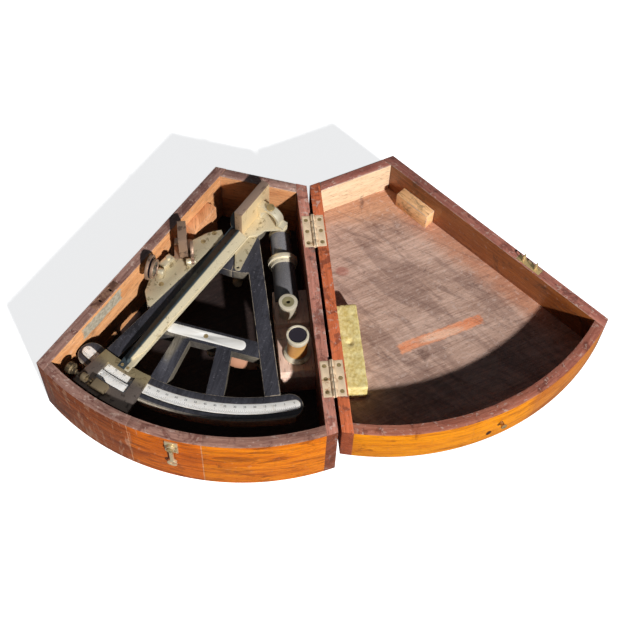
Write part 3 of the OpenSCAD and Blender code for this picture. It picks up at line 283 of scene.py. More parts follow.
def build_blotch(s: Shade, given: Sockets, out: Sockets) -> None:
    """Ragged blotches that cover a stated share of a surface, and a fine speckle."""
    vector = given["Vector"]
    rough = s.noise(vector, given["Scale"], 6.0, 0.68, 0.4)
    edge = s.minus(0.72, s.times(given["Amount"], 0.42))
    over = s.minus(rough, edge)
    s.feed(out["Mask"], s.step(over, -0.03, 0.07))
    speck = s.noise(vector, s.times(given["Scale"], 14.0), 2.0, 0.6)
    s.feed(out["Speckle"], s.step(speck, 0.35, 0.68))


def build_scratch(s: Shade, given: Sockets, out: Sockets) -> None:
    """Fine scratches in two directions."""
    lines = None
    for turn in (0.5, -0.8):
        turned = s.placed(given["Vector"], (0, 0, 0), (0.3, 0.2, turn))
        drawn = s.scaled(s.stretch(turned, (1.0, 26.0, 26.0)), given["Scale"])
        line = s.step(s.noise(drawn, 1.0, 2.0, 0.5), 0.66, 0.74)
        lines = line if lines is None else s.larger(lines, line)
    s.feed(out["Mask"], lines)


VECTOR_FLOAT = {"Vector": "NodeSocketVector", "Scale": "NodeSocketFloat"}
TIMBER = shader_group("timber_grain", {"Vector": "NodeSocketVector", "Figure Scale": "NodeSocketFloat",
                                       "Fibre Scale": "NodeSocketFloat"}, ("Figure", "Fibre", "Pores"), build_timber)
BLOTCH = shader_group("blotches", {**VECTOR_FLOAT, "Amount": "NodeSocketFloat"}, ("Mask", "Speckle"), build_blotch)
SCRATCH = shader_group("scratches", VECTOR_FLOAT, ("Mask",), build_scratch)


def emptied(owner: bpy.types.Material | bpy.types.World) -> Shade:
    """Gives a material or a world an empty node tree to lay out."""
    owner.use_nodes = True
    owner.node_tree.nodes.clear()
    return Shade(owner.node_tree)


class Where(Enum):
    """How a zone of a finish is bounded."""

    FACING = "faces a direction"
    RINGED = "lies outside a circle round the pivot"
    BEYOND = "lies beyond a plane"
    WITHIN = "lies inside an ellipsoid"
    STREAKED = "lies in streaks of a stretched noise"


@dataclass(frozen=True)
class Bound:
    """One bound of a zone, in metres. It ends softly, and raggedly where ragged isn't 0."""

    where: Where
    direction: Sequence[float] = (0, 0, 1)
    limit: float = 0.5
    soft: float = 0.2
    centre: Sequence[float] = (0, 0, 0)
    radii: Sequence[float] = (1, 1, 1)
    turn: float = 0.0
    ragged: float = 0.0
    inward: bool = False

    def mask(self, s: Shade, place: Value, normal: Value) -> Socket:
        """Lays out the nodes that give 1 inside the bound.

        Args:
            s: the material's tree.
            place: the Object coordinate.
            normal: the object space normal.

        Returns:
            The mask's socket.
        """
        if self.where is Where.WITHIN:
            inside = s.placed(place, self.centre, (0, 0, math.radians(self.turn)), self.radii)
            reach = s.add("ShaderNodeVectorMath", operation="LENGTH")
            s.feed(reach.inputs[0], inside)
            value = s.minus(1.0, reach.outputs["Value"])
        elif self.where is Where.RINGED:
            flat = s.add("ShaderNodeVectorMath", operation="LENGTH")
            s.feed(flat.inputs[0], s.stretch(place, (1, 1, 0)))
            value = s.minus(flat.outputs["Value"], self.limit)
        elif self.where is Where.STREAKED:
            turned = s.placed(place, (0, 0, 0), (0, 0, math.radians(self.turn)), self.radii)
            drawn = s.noise(turned, 1.0, 4.0, 0.6, 0.6)
            value = s.minus(drawn, self.limit)
        else:
            dot = s.add("ShaderNodeVectorMath", operation="DOT_PRODUCT")
            s.feed(dot.inputs[0], normal if self.where is Where.FACING else place)
            dot.inputs[1].default_value = self.direction
            value = s.minus(dot.outputs["Value"], self.limit)
        if self.ragged:
            torn = s.times(s.minus(s.noise(place, RAGGED_SCALE, 5.0, 0.7), 0.5), self.ragged)
            value = s.plus(value, torn)
        if self.inward:
            value = s.times(value, -1.0)
        return s.step(value, -self.soft / 2, self.soft / 2)


@dataclass(frozen=True)
class Zone:
    """A stretch of a finish with its own two colours."""

    light: Colour
    dark: Colour
    bounds: Sequence[Bound]
    share: float = 1.0

    def mask(self, s: Shade, place: Value, normal: Value) -> Socket:
        """The product of the zone's bounds and its share."""
        value = None
        for bound in self.bounds:
            part = bound.mask(s, place, normal)
            value = part if value is None else s.times(value, part)
        return s.times(value, self.share)


@dataclass(frozen=True)
class Finish:
    """A finish that can dress pieces and CAD nodes."""

    name: str
    roughness: float = 0.5

    def material(self) -> bpy.types.Material:
        """Makes the material, once for each finish."""
        made = bpy.data.materials.get(self.name)
        if made is None:
            made = bpy.data.materials.new(self.name)
            s = emptied(made)
            shader = s.add("ShaderNodeBsdfPrincipled")
            s.feed(s.add("ShaderNodeOutputMaterial").inputs["Surface"], shader.outputs["BSDF"])
            at = s.add("ShaderNodeTexCoord")
            shader.inputs["Roughness"].default_value = self.roughness
            self.lay(s, shader, at.outputs["Object"], at.outputs["Normal"])
        return made

    def lay(self, s: Shade, shader: bpy.types.Node, place: Value, normal: Value) -> None:
        """Lays out the finish's own nodes."""
        raise NotImplementedError

    def bump(self, s: Shade, shader: bpy.types.Node, height: Value, depth: float) -> None:
        """Feeds a height, with depth in metres, to the shader's normal."""
        node = s.add("ShaderNodeBump")
        node.inputs["Strength"].default_value = 1.0
        node.inputs["Distance"].default_value = depth
        s.feed(node.inputs["Height"], height)
        s.feed(shader.inputs["Normal"], node.outputs["Normal"])

    def dress(self, *objects: bpy.types.Object) -> None:
        """Puts the material on every slot of the objects."""
        for obj in objects:
            obj.data.materials.clear()
            obj.data.materials.append(self.material())


@dataclass(frozen=True)
class Timber(Finish):
    """Wood with figure, pores, worn places and varnish."""

    light: Colour = (0.5, 0.3, 0.2)
    dark: Colour = (0.2, 0.1, 0.05)
    turn: Sequence[float] = (0.0, 0.0, 0.0)
    origin: Sequence[float] = (0.013, 0.007, 0.003)
    figure: float = 9.0
    fibre: float = 22.0
    grain: float = 0.55
    dirt: Colour = (0.02, 0.015, 0.012)
    dirt_share: float = 0.25
    dirt_scale: float = 26.0
    dirt_cover: float = 0.6
    pore_cover: float = 0.5
    scuff: Colour = (0.5, 0.4, 0.34)
    scuff_share: float = 0.2
    scuff_scale: float = 150.0
    scuff_cover: float = 0.4
    scratch_scale: float = 34.0
    coat: float = 0.0
    coat_rough: float = 0.16
    gloss: float = 0.3
    scuff_dull: float = 0.3
    pore_dull: float = 0.15
    edge: Colour = (0.42, 0.3, 0.24)
    edge_share: float = 0.7
    edge_scale: float = 90.0
    depth: float = 0.00015
    bend: Sequence[float] | None = None
    streak: float = 0.0
    streak_turn: float = 0.0
    streak_scale: float = 20.0
    zones: Sequence[Zone] = ()

    def grain_vector(self, s: Shade, place: Value) -> Socket:
        """Coordinates with X along the grain, round the bend's centre if there is one."""
        if self.bend is None:
            return s.placed(place, self.origin, [math.radians(t) for t in self.turn])
        centre_x, centre_y, radius = (value * MM for value in self.bend)
        x, y, z = s.wired("ShaderNodeSeparateXYZ", Vector=s.placed(place, (centre_x, centre_y, 0), (0, 0, 0)))
        angle = s.math("ARCTAN2", x, s.times(y, -1.0))
        reach = s.math("SQRT", s.plus(s.times(x, x), s.times(y, y)))
        return s.wired("ShaderNodeCombineXYZ", X=s.times(angle, radius), Y=reach, Z=z)[0]

    def lay(self, s: Shade, shader: bpy.types.Node, place: Value, normal: Value) -> None:
        """Grain first, then the zones, then dirt and scuffs over them."""
        along = self.grain_vector(s, place)
        grain = s.use(TIMBER, Vector=along, Figure_Scale=self.figure, Fibre_Scale=self.fibre)
        tone = s.plus(s.times(grain["Figure"], 1 - self.grain), s.times(grain["Fibre"], self.grain))
        colour = s.mix(tone, self.dark, self.light)
        for zone in self.zones:
            colour = s.mix(zone.mask(s, place, normal), colour, s.mix(tone, zone.dark, zone.light))
        colour = s.mix(s.times(grain["Pores"], self.pore_cover), colour, self.dirt)
        if self.streak:
            turned = s.placed(along, (0, 0, 0), (0, 0, math.radians(self.streak_turn)))
            long = s.scaled(s.stretch(turned, (1.0, 7.0, 7.0)), self.streak_scale)
            lines = s.step(s.noise(long, 1.0, 4.0, 0.6, 0.8), 0.5, 0.72)
            colour = s.mix(s.times(lines, self.streak), colour, self.dirt)
        worn = s.use(BLOTCH, Vector=place, Scale=self.dirt_scale, Amount=self.dirt_share)
        colour = s.mix(s.times(worn["Mask"], self.dirt_cover), colour, self.dirt)
        pale = s.use(BLOTCH, Vector=along, Scale=self.scuff_scale, Amount=self.scuff_share)
        drawn = s.use(SCRATCH, Vector=place, Scale=self.scratch_scale)
        marks = s.larger(s.times(pale["Mask"], self.scuff_cover), s.times(drawn["Mask"], self.scuff_share * 1.3))
        colour = s.mix(marks, colour, self.scuff)
        rubbed = s.times(s.edge(), s.step(s.noise(place, self.edge_scale, 4.0, 0.7), 0.36, 0.56))
        colour = s.mix(s.times(rubbed, self.edge_share), colour, self.edge)
        s.feed(shader.inputs["Base Color"], colour)
        rough = s.blend(marks, self.roughness, min(1.0, self.roughness + self.scuff_dull))
        s.feed(shader.inputs["Roughness"], s.plus(rough, s.times(grain["Pores"], self.pore_dull)))
        shader.inputs["Specular IOR Level"].default_value = self.gloss
        shader.inputs["Coat Weight"].default_value = self.coat
        shader.inputs["Coat Roughness"].default_value = self.coat_rough
        self.bump(s, shader, s.minus(s.minus(grain["Fibre"], grain["Pores"]), marks), self.depth)


@dataclass(frozen=True)
class Metal(Finish):
    """Metal with tarnish in blotches, speckle and fine scratches."""

    bright: Colour = (0.6, 0.45, 0.2)
    tarnish: Colour = (0.2, 0.14, 0.07)
    share: float = 0.5
    scale: float = 60.0
    scratch_scale: float = 90.0
    dull: float = 0.22
    scratch_dull: float = 0.12
    rubbed: float = 0.7
    metal: float = 0.6
    gloss: float = 0.5
    brush: float = 0.00002
    zones: Sequence[Zone] = ()

    def lay(self, s: Shade, shader: bpy.types.Node, place: Value, normal: Value) -> None:
        """Tarnish over the bright metal, and duller where it lies."""
        stain = s.use(BLOTCH, Vector=place, Scale=self.scale, Amount=self.share)
        drawn = s.use(SCRATCH, Vector=place, Scale=self.scratch_scale)
        cover = s.math("ADD", s.times(stain["Mask"], 0.8), s.times(stain["Speckle"], 0.2), clamp=True)
        cover = s.times(cover, s.minus(1.0, s.times(s.edge(), self.rubbed)))
        colour = s.mix(cover, self.bright, self.tarnish)
        for zone in self.zones:
            colour = s.mix(zone.mask(s, place, normal), colour, s.mix(cover, zone.light, zone.dark))
        s.feed(shader.inputs["Base Color"], colour)
        shader.inputs["Metallic"].default_value = self.metal
        shader.inputs["Specular IOR Level"].default_value = self.gloss
        rough = s.blend(cover, self.roughness, self.roughness + self.dull)
        s.feed(shader.inputs["Roughness"], s.plus(rough, s.times(drawn["Mask"], self.scratch_dull)))
        self.bump(s, shader, s.plus(cover, drawn["Mask"]), self.brush)


@dataclass(frozen=True)
class Lacquer(Finish):
    """Black lacquer that has worn to brass in places."""

    body: Colour = (0.02, 0.02, 0.024)
    under: Colour = (0.5, 0.38, 0.18)
    share: float = 0.25
    wear_scale: float = 75.0
    scratch_scale: float = 60.0
    scratch_cover: float = 0.35
    dust: float = 1.5
    dull: float = 0.12
    depth: float = 0.00003
    zones: Sequence[Zone] = ()

    def lay(self, s: Shade, shader: bpy.types.Node, place: Value, normal: Value) -> None:
        """Lacquer, with the metal showing through where the blotches lie."""
        worn = s.use(BLOTCH, Vector=place, Scale=self.wear_scale, Amount=self.share)
        drawn = s.use(SCRATCH, Vector=place, Scale=self.scratch_scale)
        bare = s.larger(worn["Mask"], s.times(drawn["Mask"], self.scratch_cover))
        dusty = s.mix(worn["Speckle"], self.body, tuple(min(1.0, c * self.dust + 0.01) for c in paint(self.body)))
        colour = s.mix(bare, dusty, self.under)
        metal = bare
        for zone in self.zones:
            inside = zone.mask(s, place, normal)
            colour = s.mix(inside, colour, s.mix(worn["Speckle"], zone.light, zone.dark))
            metal = s.larger(metal, inside)
        s.feed(shader.inputs["Base Color"], colour)
        s.feed(shader.inputs["Metallic"], metal)
        s.feed(shader.inputs["Roughness"], s.blend(bare, self.roughness, self.roughness + self.dull))
        self.bump(s, shader, s.times(bare, -1.0), self.depth)


@dataclass(frozen=True)
class Bone(Finish):
    """Bone or ivory with faint streaks and yellowed places."""

    body: Colour = (0.8, 0.76, 0.64)
    stain: Colour = (0.5, 0.4, 0.24)
    stain_scale: float = 80.0
    stain_share: float = 0.22
    stain_cover: float = 0.4
    streak_cover: float = 0.22
    figure: float = 30.0
    fibre: float = 70.0
    depth: float = 0.00002

    def lay(self, s: Shade, shader: bpy.types.Node, place: Value, normal: Value) -> None:
        """Streaks along the piece and a little dirt."""
        streaks = s.use(TIMBER, Vector=place, Figure_Scale=self.figure, Fibre_Scale=self.fibre)
        dirty = s.use(BLOTCH, Vector=place, Scale=self.stain_scale, Amount=self.stain_share)
        colour = s.mix(s.times(streaks["Figure"], self.streak_cover), self.body, self.stain)
        colour = s.mix(s.times(dirty["Mask"], self.stain_cover), colour, self.stain)
        s.feed(shader.inputs["Base Color"], colour)
        self.bump(s, shader, streaks["Fibre"], self.depth)


@dataclass(frozen=True)
class Glass(Finish):
    """Glass, either a dark shade or clear, with a film of dust."""

    body: Colour = (0.02, 0.015, 0.025)
    clear: float = 0.0
    dust_scale: float = 110.0
    dust_share: float = 0.35
    dust_cover: float = 0.5
    dull: float = 0.2
    ior: float = 1.52

    def lay(self, s: Shade, shader: bpy.types.Node, place: Value, normal: Value) -> None:
        """Dust makes the polish uneven."""
        dust = s.use(BLOTCH, Vector=place, Scale=self.dust_scale, Amount=self.dust_share)
        film = tuple(min(1.0, c + 0.05) for c in paint(self.body))
        s.feed(shader.inputs["Base Color"], s.mix(s.times(dust["Mask"], self.dust_cover), self.body, film))
        s.feed(shader.inputs["Roughness"], s.blend(dust["Mask"], self.roughness, self.roughness + self.dull))
        shader.inputs["IOR"].default_value = self.ior
        shader.inputs["Transmission Weight"].default_value = self.clear


@dataclass(frozen=True)
class Silvering(Finish):
    """Old silvered glass that has gone in spots at its edges."""

    silver: Colour = (0.42, 0.44, 0.47)
    lost: Colour = (0.04, 0.035, 0.03)
    spot_scale: float = 140.0
    spot_share: float = 0.45
    lost_rough: float = 0.35

    def lay(self, s: Shade, shader: bpy.types.Node, place: Value, normal: Value) -> None:
        """Spots where the silver is lost are dark and not metallic."""
        spots = s.use(BLOTCH, Vector=place, Scale=self.spot_scale, Amount=self.spot_share)
        s.feed(shader.inputs["Base Color"], s.mix(spots["Mask"], self.silver, self.lost))
        s.feed(shader.inputs["Metallic"], s.minus(1.0, spots["Mask"]))
        s.feed(shader.inputs["Roughness"], s.blend(spots["Mask"], self.roughness, self.lost_rough))


@dataclass(frozen=True)
class Rough(Finish):
    """Cork and paper: a crumbled or fibrous surface in two colours with dark spots."""

    light: Colour = (0.6, 0.45, 0.2)
    dark: Colour = (0.35, 0.24, 0.1)
    scale: float = 170.0
    depth: float = 0.0006
    pits: float = 0.3
    pit_cover: float = 0.7
    pit_tone: float = 0.3

    def lay(self, s: Shade, shader: bpy.types.Node, place: Value, normal: Value) -> None:
        """Crumbs from a cell pattern, with pits between them."""
        cells = s.add("ShaderNodeTexVoronoi", feature="F1")
        s.feed(cells.inputs["Vector"], place)
        cells.inputs["Scale"].default_value = self.scale * 1.7
        crumb = s.noise(place, self.scale, 4.0, 0.7)
        colour = s.mix(s.step(crumb, 0.3, 0.7), self.dark, self.light)
        pit = s.use(BLOTCH, Vector=place, Scale=self.scale * 0.8, Amount=self.pits)
        colour = s.mix(s.times(pit["Mask"], self.pit_cover), colour,
                       tuple(c * self.pit_tone for c in paint(self.dark)))
        s.feed(shader.inputs["Base Color"], colour)
        height = s.minus(s.plus(cells.outputs["Distance"], crumb), pit["Mask"])
        self.bump(s, shader, height, self.depth)


@dataclass(frozen=True)
class PaleFloor(Finish):
    """A mottled pale floor that glows for the camera and throws little light on the object."""

    light: Colour = (0.9, 0.9, 0.9)
    dark: Colour = (0.86, 0.86, 0.86)
    bounce: Colour = (0.3, 0.3, 0.3)
    glow: float = 0.8
    mottle: float = 6.0

    def lay(self, s: Shade, shader: bpy.types.Node, place: Value, normal: Value) -> None:
        """The camera sees the pale colours, other rays the bounce colour."""
        seen = s.add("ShaderNodeLightPath").outputs["Is Camera Ray"]
        pale = s.mix(s.noise(place, self.mottle), self.dark, self.light)
        s.feed(shader.inputs["Base Color"], s.mix(seen, self.bounce, pale))
        shader.inputs["Emission Color"].default_value = (1, 1, 1, 1)
        s.feed(shader.inputs["Emission Strength"], s.times(seen, self.glow))


SLOTS = {row["node"]: row["material_slot"] for row in frame["record"]["subparts"]}
BODIES = {node: body for body, nodes in frame["record"]["behaviour"]["bodies"].items() for node in nodes}


def show(name: str, mesh: bpy.types.Mesh) -> bpy.types.Object:
    """Puts a mesh into the scene as an object at the origin."""
    piece = bpy.data.objects.new(name, mesh)
    bpy.context.scene.collection.objects.link(piece)
    return piece


def shade(mesh: bpy.types.Mesh, angle: float = 32.0) -> None:
    """Shades a mesh smooth, with its edges sharp past an angle in degrees."""
    mesh.polygons.foreach_set("use_smooth", [True] * len(mesh.polygons))
    mesh.set_sharp_from_angle(angle=math.radians(angle))
    mesh.update()


def place(piece: bpy.types.Object, body: str, slot: str, finish: Finish) -> None:
    """Dresses a new piece and lets it ride on its body.

    Args:
        piece: the finished object.
        body: the CAD body that carries it.
        slot: the record's slot for the piece; not used.
        finish: what it is dressed in.
    """
    finish.dress(piece)
    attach(piece, body)
    log.info("%s rides on %s", piece.name, body)


def meshed(name: str, bm: bmesh.types.BMesh) -> bpy.types.Mesh:
    """Turns an edited mesh into a finished one and frees it."""
    mesh = bpy.data.meshes.new(name)
    bm.to_mesh(mesh)
    bm.free()
    return mesh


def merged(node: str) -> bmesh.types.BMesh:
    """A copy of a CAD node's mesh with its doubles merged and its flat faces joined."""
    bm = bmesh.new()
    bm.from_mesh(frame["nodes"][node].data)
    bmesh.ops.remove_doubles(bm, verts=bm.verts, dist=0.000002)
    bmesh.ops.dissolve_limit(bm, angle_limit=math.radians(0.05), verts=bm.verts, edges=bm.edges)
    return bm


@dataclass
class SubAssembly:
    """Pieces that are built and dressed together."""

    layout: Layout = field(default_factory=Layout)

    def dress(self, finish: Finish, *nodes: str) -> None:
        """Dresses CAD nodes that stay as they are."""
        for node in nodes:
            finish.dress(frame["nodes"][node])
            log.info("%s keeps its shape", node)

    def eased_walls(self, part: str, width: float, lock: Finish, back: Finish, hinge: Finish, front: Finish) -> None:
        """Rounds the four walls of the base or of the lid."""
        self.eased(lock, width, part + "_lock_wall")
        self.eased(back, width, part + "_back_wall")
        self.eased(hinge, width, part + "_hinge_wall")
        self.eased(front, width, part + "_curved_front", angle=40)

    def eased(self, finish: Finish, width: float, *nodes: str, angle: float = 30.0) -> None:
        """Replaces CAD nodes with copies whose sharp edges are rounded.

        Args:
            finish: what the copies are dressed in.
            width: width of the rounding in millimetres.
            nodes: names of the CAD nodes.
            angle: edges that turn by more than this many degrees are rounded.
        """
        for node in nodes:
            bm = merged(node)
            worn = bm.faces.layers.float.new("edge")
            sharp = [e for e in bm.edges if len(e.link_faces) == 2 and e.calc_face_angle(0) > math.radians(angle)]
            made = bmesh.ops.bevel(bm, geom=sharp, offset=width * MM, offset_type="OFFSET", segments=2,
                                   profile=0.5, affect="EDGES", clamp_overlap=True)
            for face in made["faces"]:
                face[worn] = 1.0
            bmesh.ops.triangulate(bm, faces=[f for f in bm.faces if len(f.verts) > 4])
            mesh = meshed(node + "_eased", bm)
            shade(mesh)
            piece = show(node + "_eased", mesh)
            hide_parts(node)
            place(piece, BODIES[node], SLOTS[node], finish)


def facing(x: float, y: float, z: float, limit: float = 0.7, soft: float = 0.2) -> Bound:
    """A bound of the faces that look along a direction."""
    return Bound(Where.FACING, (x, y, z), limit, soft)


def beyond(direction: Sequence[float], limit_mm: float, soft_mm: float, ragged_mm: float = 0.0) -> Bound:
    """A bound past a plane, with its sizes in millimetres."""
    return Bound(Where.BEYOND, direction, limit_mm * MM, soft_mm * MM, ragged=ragged_mm * MM)


def ring(inner_mm: float, outer_mm: float, soft_mm: float = 0.3) -> tuple[Bound, Bound]:
    """Bounds between two circles round the pivot."""
    return (Bound(Where.RINGED, limit=inner_mm * MM, soft=soft_mm * MM),
            Bound(Where.RINGED, limit=outer_mm * MM, soft=soft_mm * MM, inward=True))


def streaked(scales: Sequence[float], limit: float = 0.6, soft: float = 0.06, turn: float = 0.0) -> Bound:
    """A bound in streaks, from a noise with its own scale for each turned axis."""
    return Bound(Where.STREAKED, limit=limit, soft=soft, turn=turn, radii=[1 / scale for scale in scales])


def slab(direction: Sequence[float], low_mm: float, high_mm: float, soft_mm: float,
         ragged_mm: float = 0.0) -> tuple[Bound, Bound]:
    """Bounds between two planes across a direction."""
    return (beyond(direction, low_mm, soft_mm, ragged_mm),
            beyond([-part for part in direction], -high_mm, soft_mm, ragged_mm))


def within(centre_mm: Sequence[float], radii_mm: Sequence[float], turn: float = 0.0, soft: float = 0.3,
           ragged: float = 0.5) -> Bound:
    """A bound inside an ellipsoid, with its sizes in millimetres."""
    return Bound(Where.WITHIN, centre=[c * MM for c in centre_mm], radii=[r * MM for r in radii_mm],
                 turn=turn, soft=soft, ragged=ragged)


UP = facing(0, 0, 1, 0.5)
TILT = math.radians(2 * LAYOUT.case_turn)
LOCK_INNER = (math.cos(TILT), -math.sin(TILT), 0.0)
BACK_INNER = (-math.sin(math.radians(LAYOUT.case_turn)), -math.cos(math.radians(LAYOUT.case_turn)), 0.0)
LID_LOCK_OUT = (math.cos(TILT), math.sin(TILT), 0.0)
LOCK_GRAIN = 90.0 - 2 * LAYOUT.case_turn
FRONT_CENTRE = (-5.1, -14.2)
FRONT_BEND = (*FRONT_CENTRE, 267)
LID_FRONT_BEND = (137.7, -14.2, 267)
SEAMS = (6.3, -9.9)


def past_seam(angle: float, shift_mm: float = 0.0, side: float = 1.0) -> Bound:
    """A bound past one of the front's glued joints, which lies at an angle of the case."""
    turned = math.radians(angle - LAYOUT.case_turn)
    direction = (-side * math.cos(turned), -side * math.sin(turned), 0.0)
    start = direction[0] * FRONT_CENTRE[0] + direction[1] * FRONT_CENTRE[1]
    return beyond(direction, start + shift_mm, 0.5)


RIM_WEAR = (
    Zone("7C443A", "54302A", (UP, streaked((48, 48, 48), 0.58, 0.08)), 0.6),
    Zone("E6CCBE", "C4A494", (UP, streaked((190, 190, 190), 0.61, 0.06)), 0.6))


@dataclass
class CaseBase(SubAssembly):
    """The fan shaped base with its lock wall, blocks, hinges and latch."""

    rim: Zone = Zone("C69E90", "7E584E", (UP,), 0.9)

    def build(self) -> None:
        """Dresses the walls, the floor, the blocks and the fittings."""
        # Painted light: the lock wall's inner face is painted lighter, as where the sun falls on it.
        painted_sunlit_face = Zone("E8AE7A", "C07E4C", (facing(*LOCK_INNER, 0.8),))
        lock = Timber("base_lock_wood", 0.5, "A2542A", "5C2A16", (0, 0, LOCK_GRAIN),
                      scuff="C8A89C", scuff_share=0.26, coat=0.15, zones=(painted_sunlit_face, self.rim, *RIM_WEAR))
        back_lit = Zone("D9A070", "A8683E", (facing(*BACK_INNER, 0.8),))
        back = Timber("base_back_wood", 0.5, "9A5030", "5A2A18", (0, 0, -self.layout.case_turn),
                      coat=0.2, zones=(back_lit, self.rim, *RIM_WEAR))
        worn_rim = Zone("E69C88", "A26654", (UP,), 0.9)
        hinge = Timber("base_hinge_wood", 0.5, "8E4A30", "4E2618", (0, 0, 90),
                       scuff="A89A94", scuff_share=0.34, zones=(worn_rim, *RIM_WEAR))
        middle = Zone("E0700E", "8C3A08", (past_seam(SEAMS[0]),), 0.9)
        left = Zone("B45E2A", "5E2812", (past_seam(SEAMS[1]),), 0.9)
        seams = [Zone("E8B890", "B06A3A", (past_seam(a, -0.5), past_seam(a, -0.5, -1.0)), 0.7) for a in SEAMS]
        rubbed = Zone("D0A488", "A87656", (past_seam(-7.5), streaked((170, 170, 26), 0.58, 0.06)), 0.5)
        chipped = Zone("F2CFA0", "D8A878", (past_seam(SEAMS[1]), streaked((160, 160, 110), 0.68, 0.03)), 0.8)
        clouded = Zone("8A4408", "5A2606", (streaked((24, 24, 120), 0.6, 0.08),), 0.55)
        front = Timber("base_front_wood", 0.42, "F08C0C", "A84406", figure=8, fibre=26, grain=0.6,
                       gloss=0.2, scuff_share=0.16, scuff="D8B090", scuff_scale=110, dirt="4A1406",
                       bend=FRONT_BEND, streak=0.55, edge="D8B49C",
                       zones=(middle, left, clouded, rubbed, chipped, *seams, self.rim, *RIM_WEAR))
        self.eased_walls("base", 0.9, lock, back, hinge, front)
        # Painted light: the lighter streak on the floor is a painted patch of sunlight, drawn as a scrape.
        scrape = Zone("9C6A50", "5A3426", (within((-156, -90, 8), (18, 4.5, 6), 50),))
        # Painted shade: the floor is painted near black, standing in for the shadow that fills the well.
        floor = Timber("base_floor_painted_shade", 0.75, "3A2A26", "1A1212", (0, 0, 20), dirt_share=0.4,
                       scuff="5A4A44", zones=(scrape,))
        self.dress(floor, "base_floor")
        # Painted light: the blocks at the front are painted pale pink, standing in for the sun that lights them.
        painted_sunlit_block = Zone("FFE0CC", "E0AC92", (beyond((0, -1, 0), 60, 1),))
        block = Timber("block_wood", 0.62, "EDB080", "B87A4C", (0, 0, 90), scuff_share=0.12,
                       dirt_share=0.14, zones=(painted_sunlit_block,))
        self.eased(block, 0.8, "base_blocks")
        paper = Rough("paper_remains", 0.8, "BDB29C", "8C8270", 200.0, 0.00006, 0.12)
        wall = self.layout.lock_wall()
        at = self.layout.wall - 0.02
        sheet = show("paper_on_lock_wall", torn_sheet("paper", wall, (182, 57, 246, 76), at, 0.16))
        place(sheet, "case_base", "base_board", paper)
        Hardware(self.layout).build_base()


@dataclass
class CaseLid(SubAssembly):
    """The lid, opened flat beside the base."""

    rim: Zone = Zone("D08A78", "8E4E44", (UP,), 0.9)

    def build(self) -> None:
        """Dresses the walls, the board, the stop block and the fittings."""
        inner_lock = (-LOCK_INNER[0], LOCK_INNER[1], 0)
        inner_back = (-BACK_INNER[0], BACK_INNER[1], 0)
        deep = Zone("A5602E", "6A3316", (facing(*inner_lock, 0.8),))
        lock = Timber("lid_lock_wood", 0.42, "A5562A", "642E16", (0, 0, -LOCK_GRAIN), coat=0.4,
                      zones=(deep, self.rim, *RIM_WEAR))
        # Painted light: the lid's back wall is painted pale cream on its inner face, as where the sun falls on it.
        painted_sunlit_inner = Zone("EED2AE", "D4AE88", (facing(*inner_back, 0.8),))
        back = Timber("lid_back_wood", 0.5, "A5562A", "642E16", (0, 0, self.layout.case_turn),
                      coat=0.2, dirt_share=0.15, zones=(painted_sunlit_inner, self.rim, *RIM_WEAR))
        warm = Zone("FF8C5C", "C8643C", (UP,), 0.9)
        hinge = Timber("lid_hinge_wood", 0.5, "A8522E", "622A18", (0, 0, 90), zones=(warm, *RIM_WEAR))
        end = Zone("C87830", "8A4418", (beyond((1, 0, 0), 262, 14, 12),), 0.7)
        clouded = Zone("A85A08", "6E3406", (streaked((20, 20, 130), 0.6, 0.08),), 0.5)
        nick = Zone("2A1206", "180A04", (within((217, -269, 45), (3.2, 4, 4)),))
        front = Timber("lid_front_wood", 0.4, "F29A08", "C46A04", figure=8, fibre=26, gloss=0.2,
                       scuff_share=0.1, dirt="7A3406", bend=LID_FRONT_BEND, streak=0.4,
                       edge="E0BC98", zones=(end, clouded, nick, self.rim, *RIM_WEAR))
        self.eased_walls("lid", 0.9, lock, back, hinge, front)
        scrape = Zone("FFB890", "E27A4A", (*slab((-0.307, 0.952, 0), -205, -192.8, 3, 9),
                                           *slab((0.952, 0.307, 0), 86, 183, 4, 16)))
        bright = Zone("FFE0C8", "FFB88C", (within((188, -149, 39), (24, 4.2, 8), 14, 0.8, 0.9),), 0.8)
        banded = Zone("9A7A6E", "6E524A", (streaked((9, 42, 9), 0.53, 0.12, -LOCK_GRAIN),), 0.45)
        foot = Zone("D89A78", "B07458", (beyond(LID_LOCK_OUT, 136, 22, 26),), 0.8)
        heel = Zone("E0A880", "B47C5A", (beyond((0, 1, 0), 6, 26, 22),), 0.7)
        outside = Zone("96502E", "562A1A", (facing(0, 0, -1, 0.5),))
        spot = Zone("C87C6C", "9A5244", (within((95, -60, 39), (7, 6, 8), 0, 0.6, 0.8),), 0.6)
        board = Timber("lid_board_wood", 0.74, "E8C4B0", "A68270", (0, 0, 20), figure=12, fibre=34,
                       grain=0.6, scuff="D8C0B4", scuff_share=0.34, scuff_scale=200, dirt="5A403C",
                       dirt_share=0.16, gloss=0.12, streak=0.36, streak_turn=-52, depth=0.0001,
                       zones=(banded, foot, heel, spot, scrape, bright, outside))
        self.dress(board, "lid_board")
        block = Timber("lid_block_wood", 0.6, "FFD09A", "D89C66", (0, 0, -LOCK_GRAIN))
        self.eased(block, 0.9, "lid_block")
        self.build_pad()
        Hardware(self.layout).build_lid()

    def build_pad(self) -> None:
        """Replaces the pad's plain solid with a crumbling block of cork."""
        corners = [frame["nodes"]["lid_pad"].matrix_world @ Vector(c) for c in frame["nodes"]["lid_pad"].bound_box]
        low = [min(c[i] for c in corners) / MM for i in range(3)]
        high = [max(c[i] for c in corners) / MM for i in range(3)]
        pad = show("cork_pad", CorkBlock(low, high).mesh("cork_pad"))
        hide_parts("lid_pad")
        cork = Rough("cork_crumbs", 0.9, "F4E4A4", "D2B868", 150.0, 0.00025, 0.14)
        place(pad, BODIES["lid_pad"], SLOTS["lid_pad"], cork)


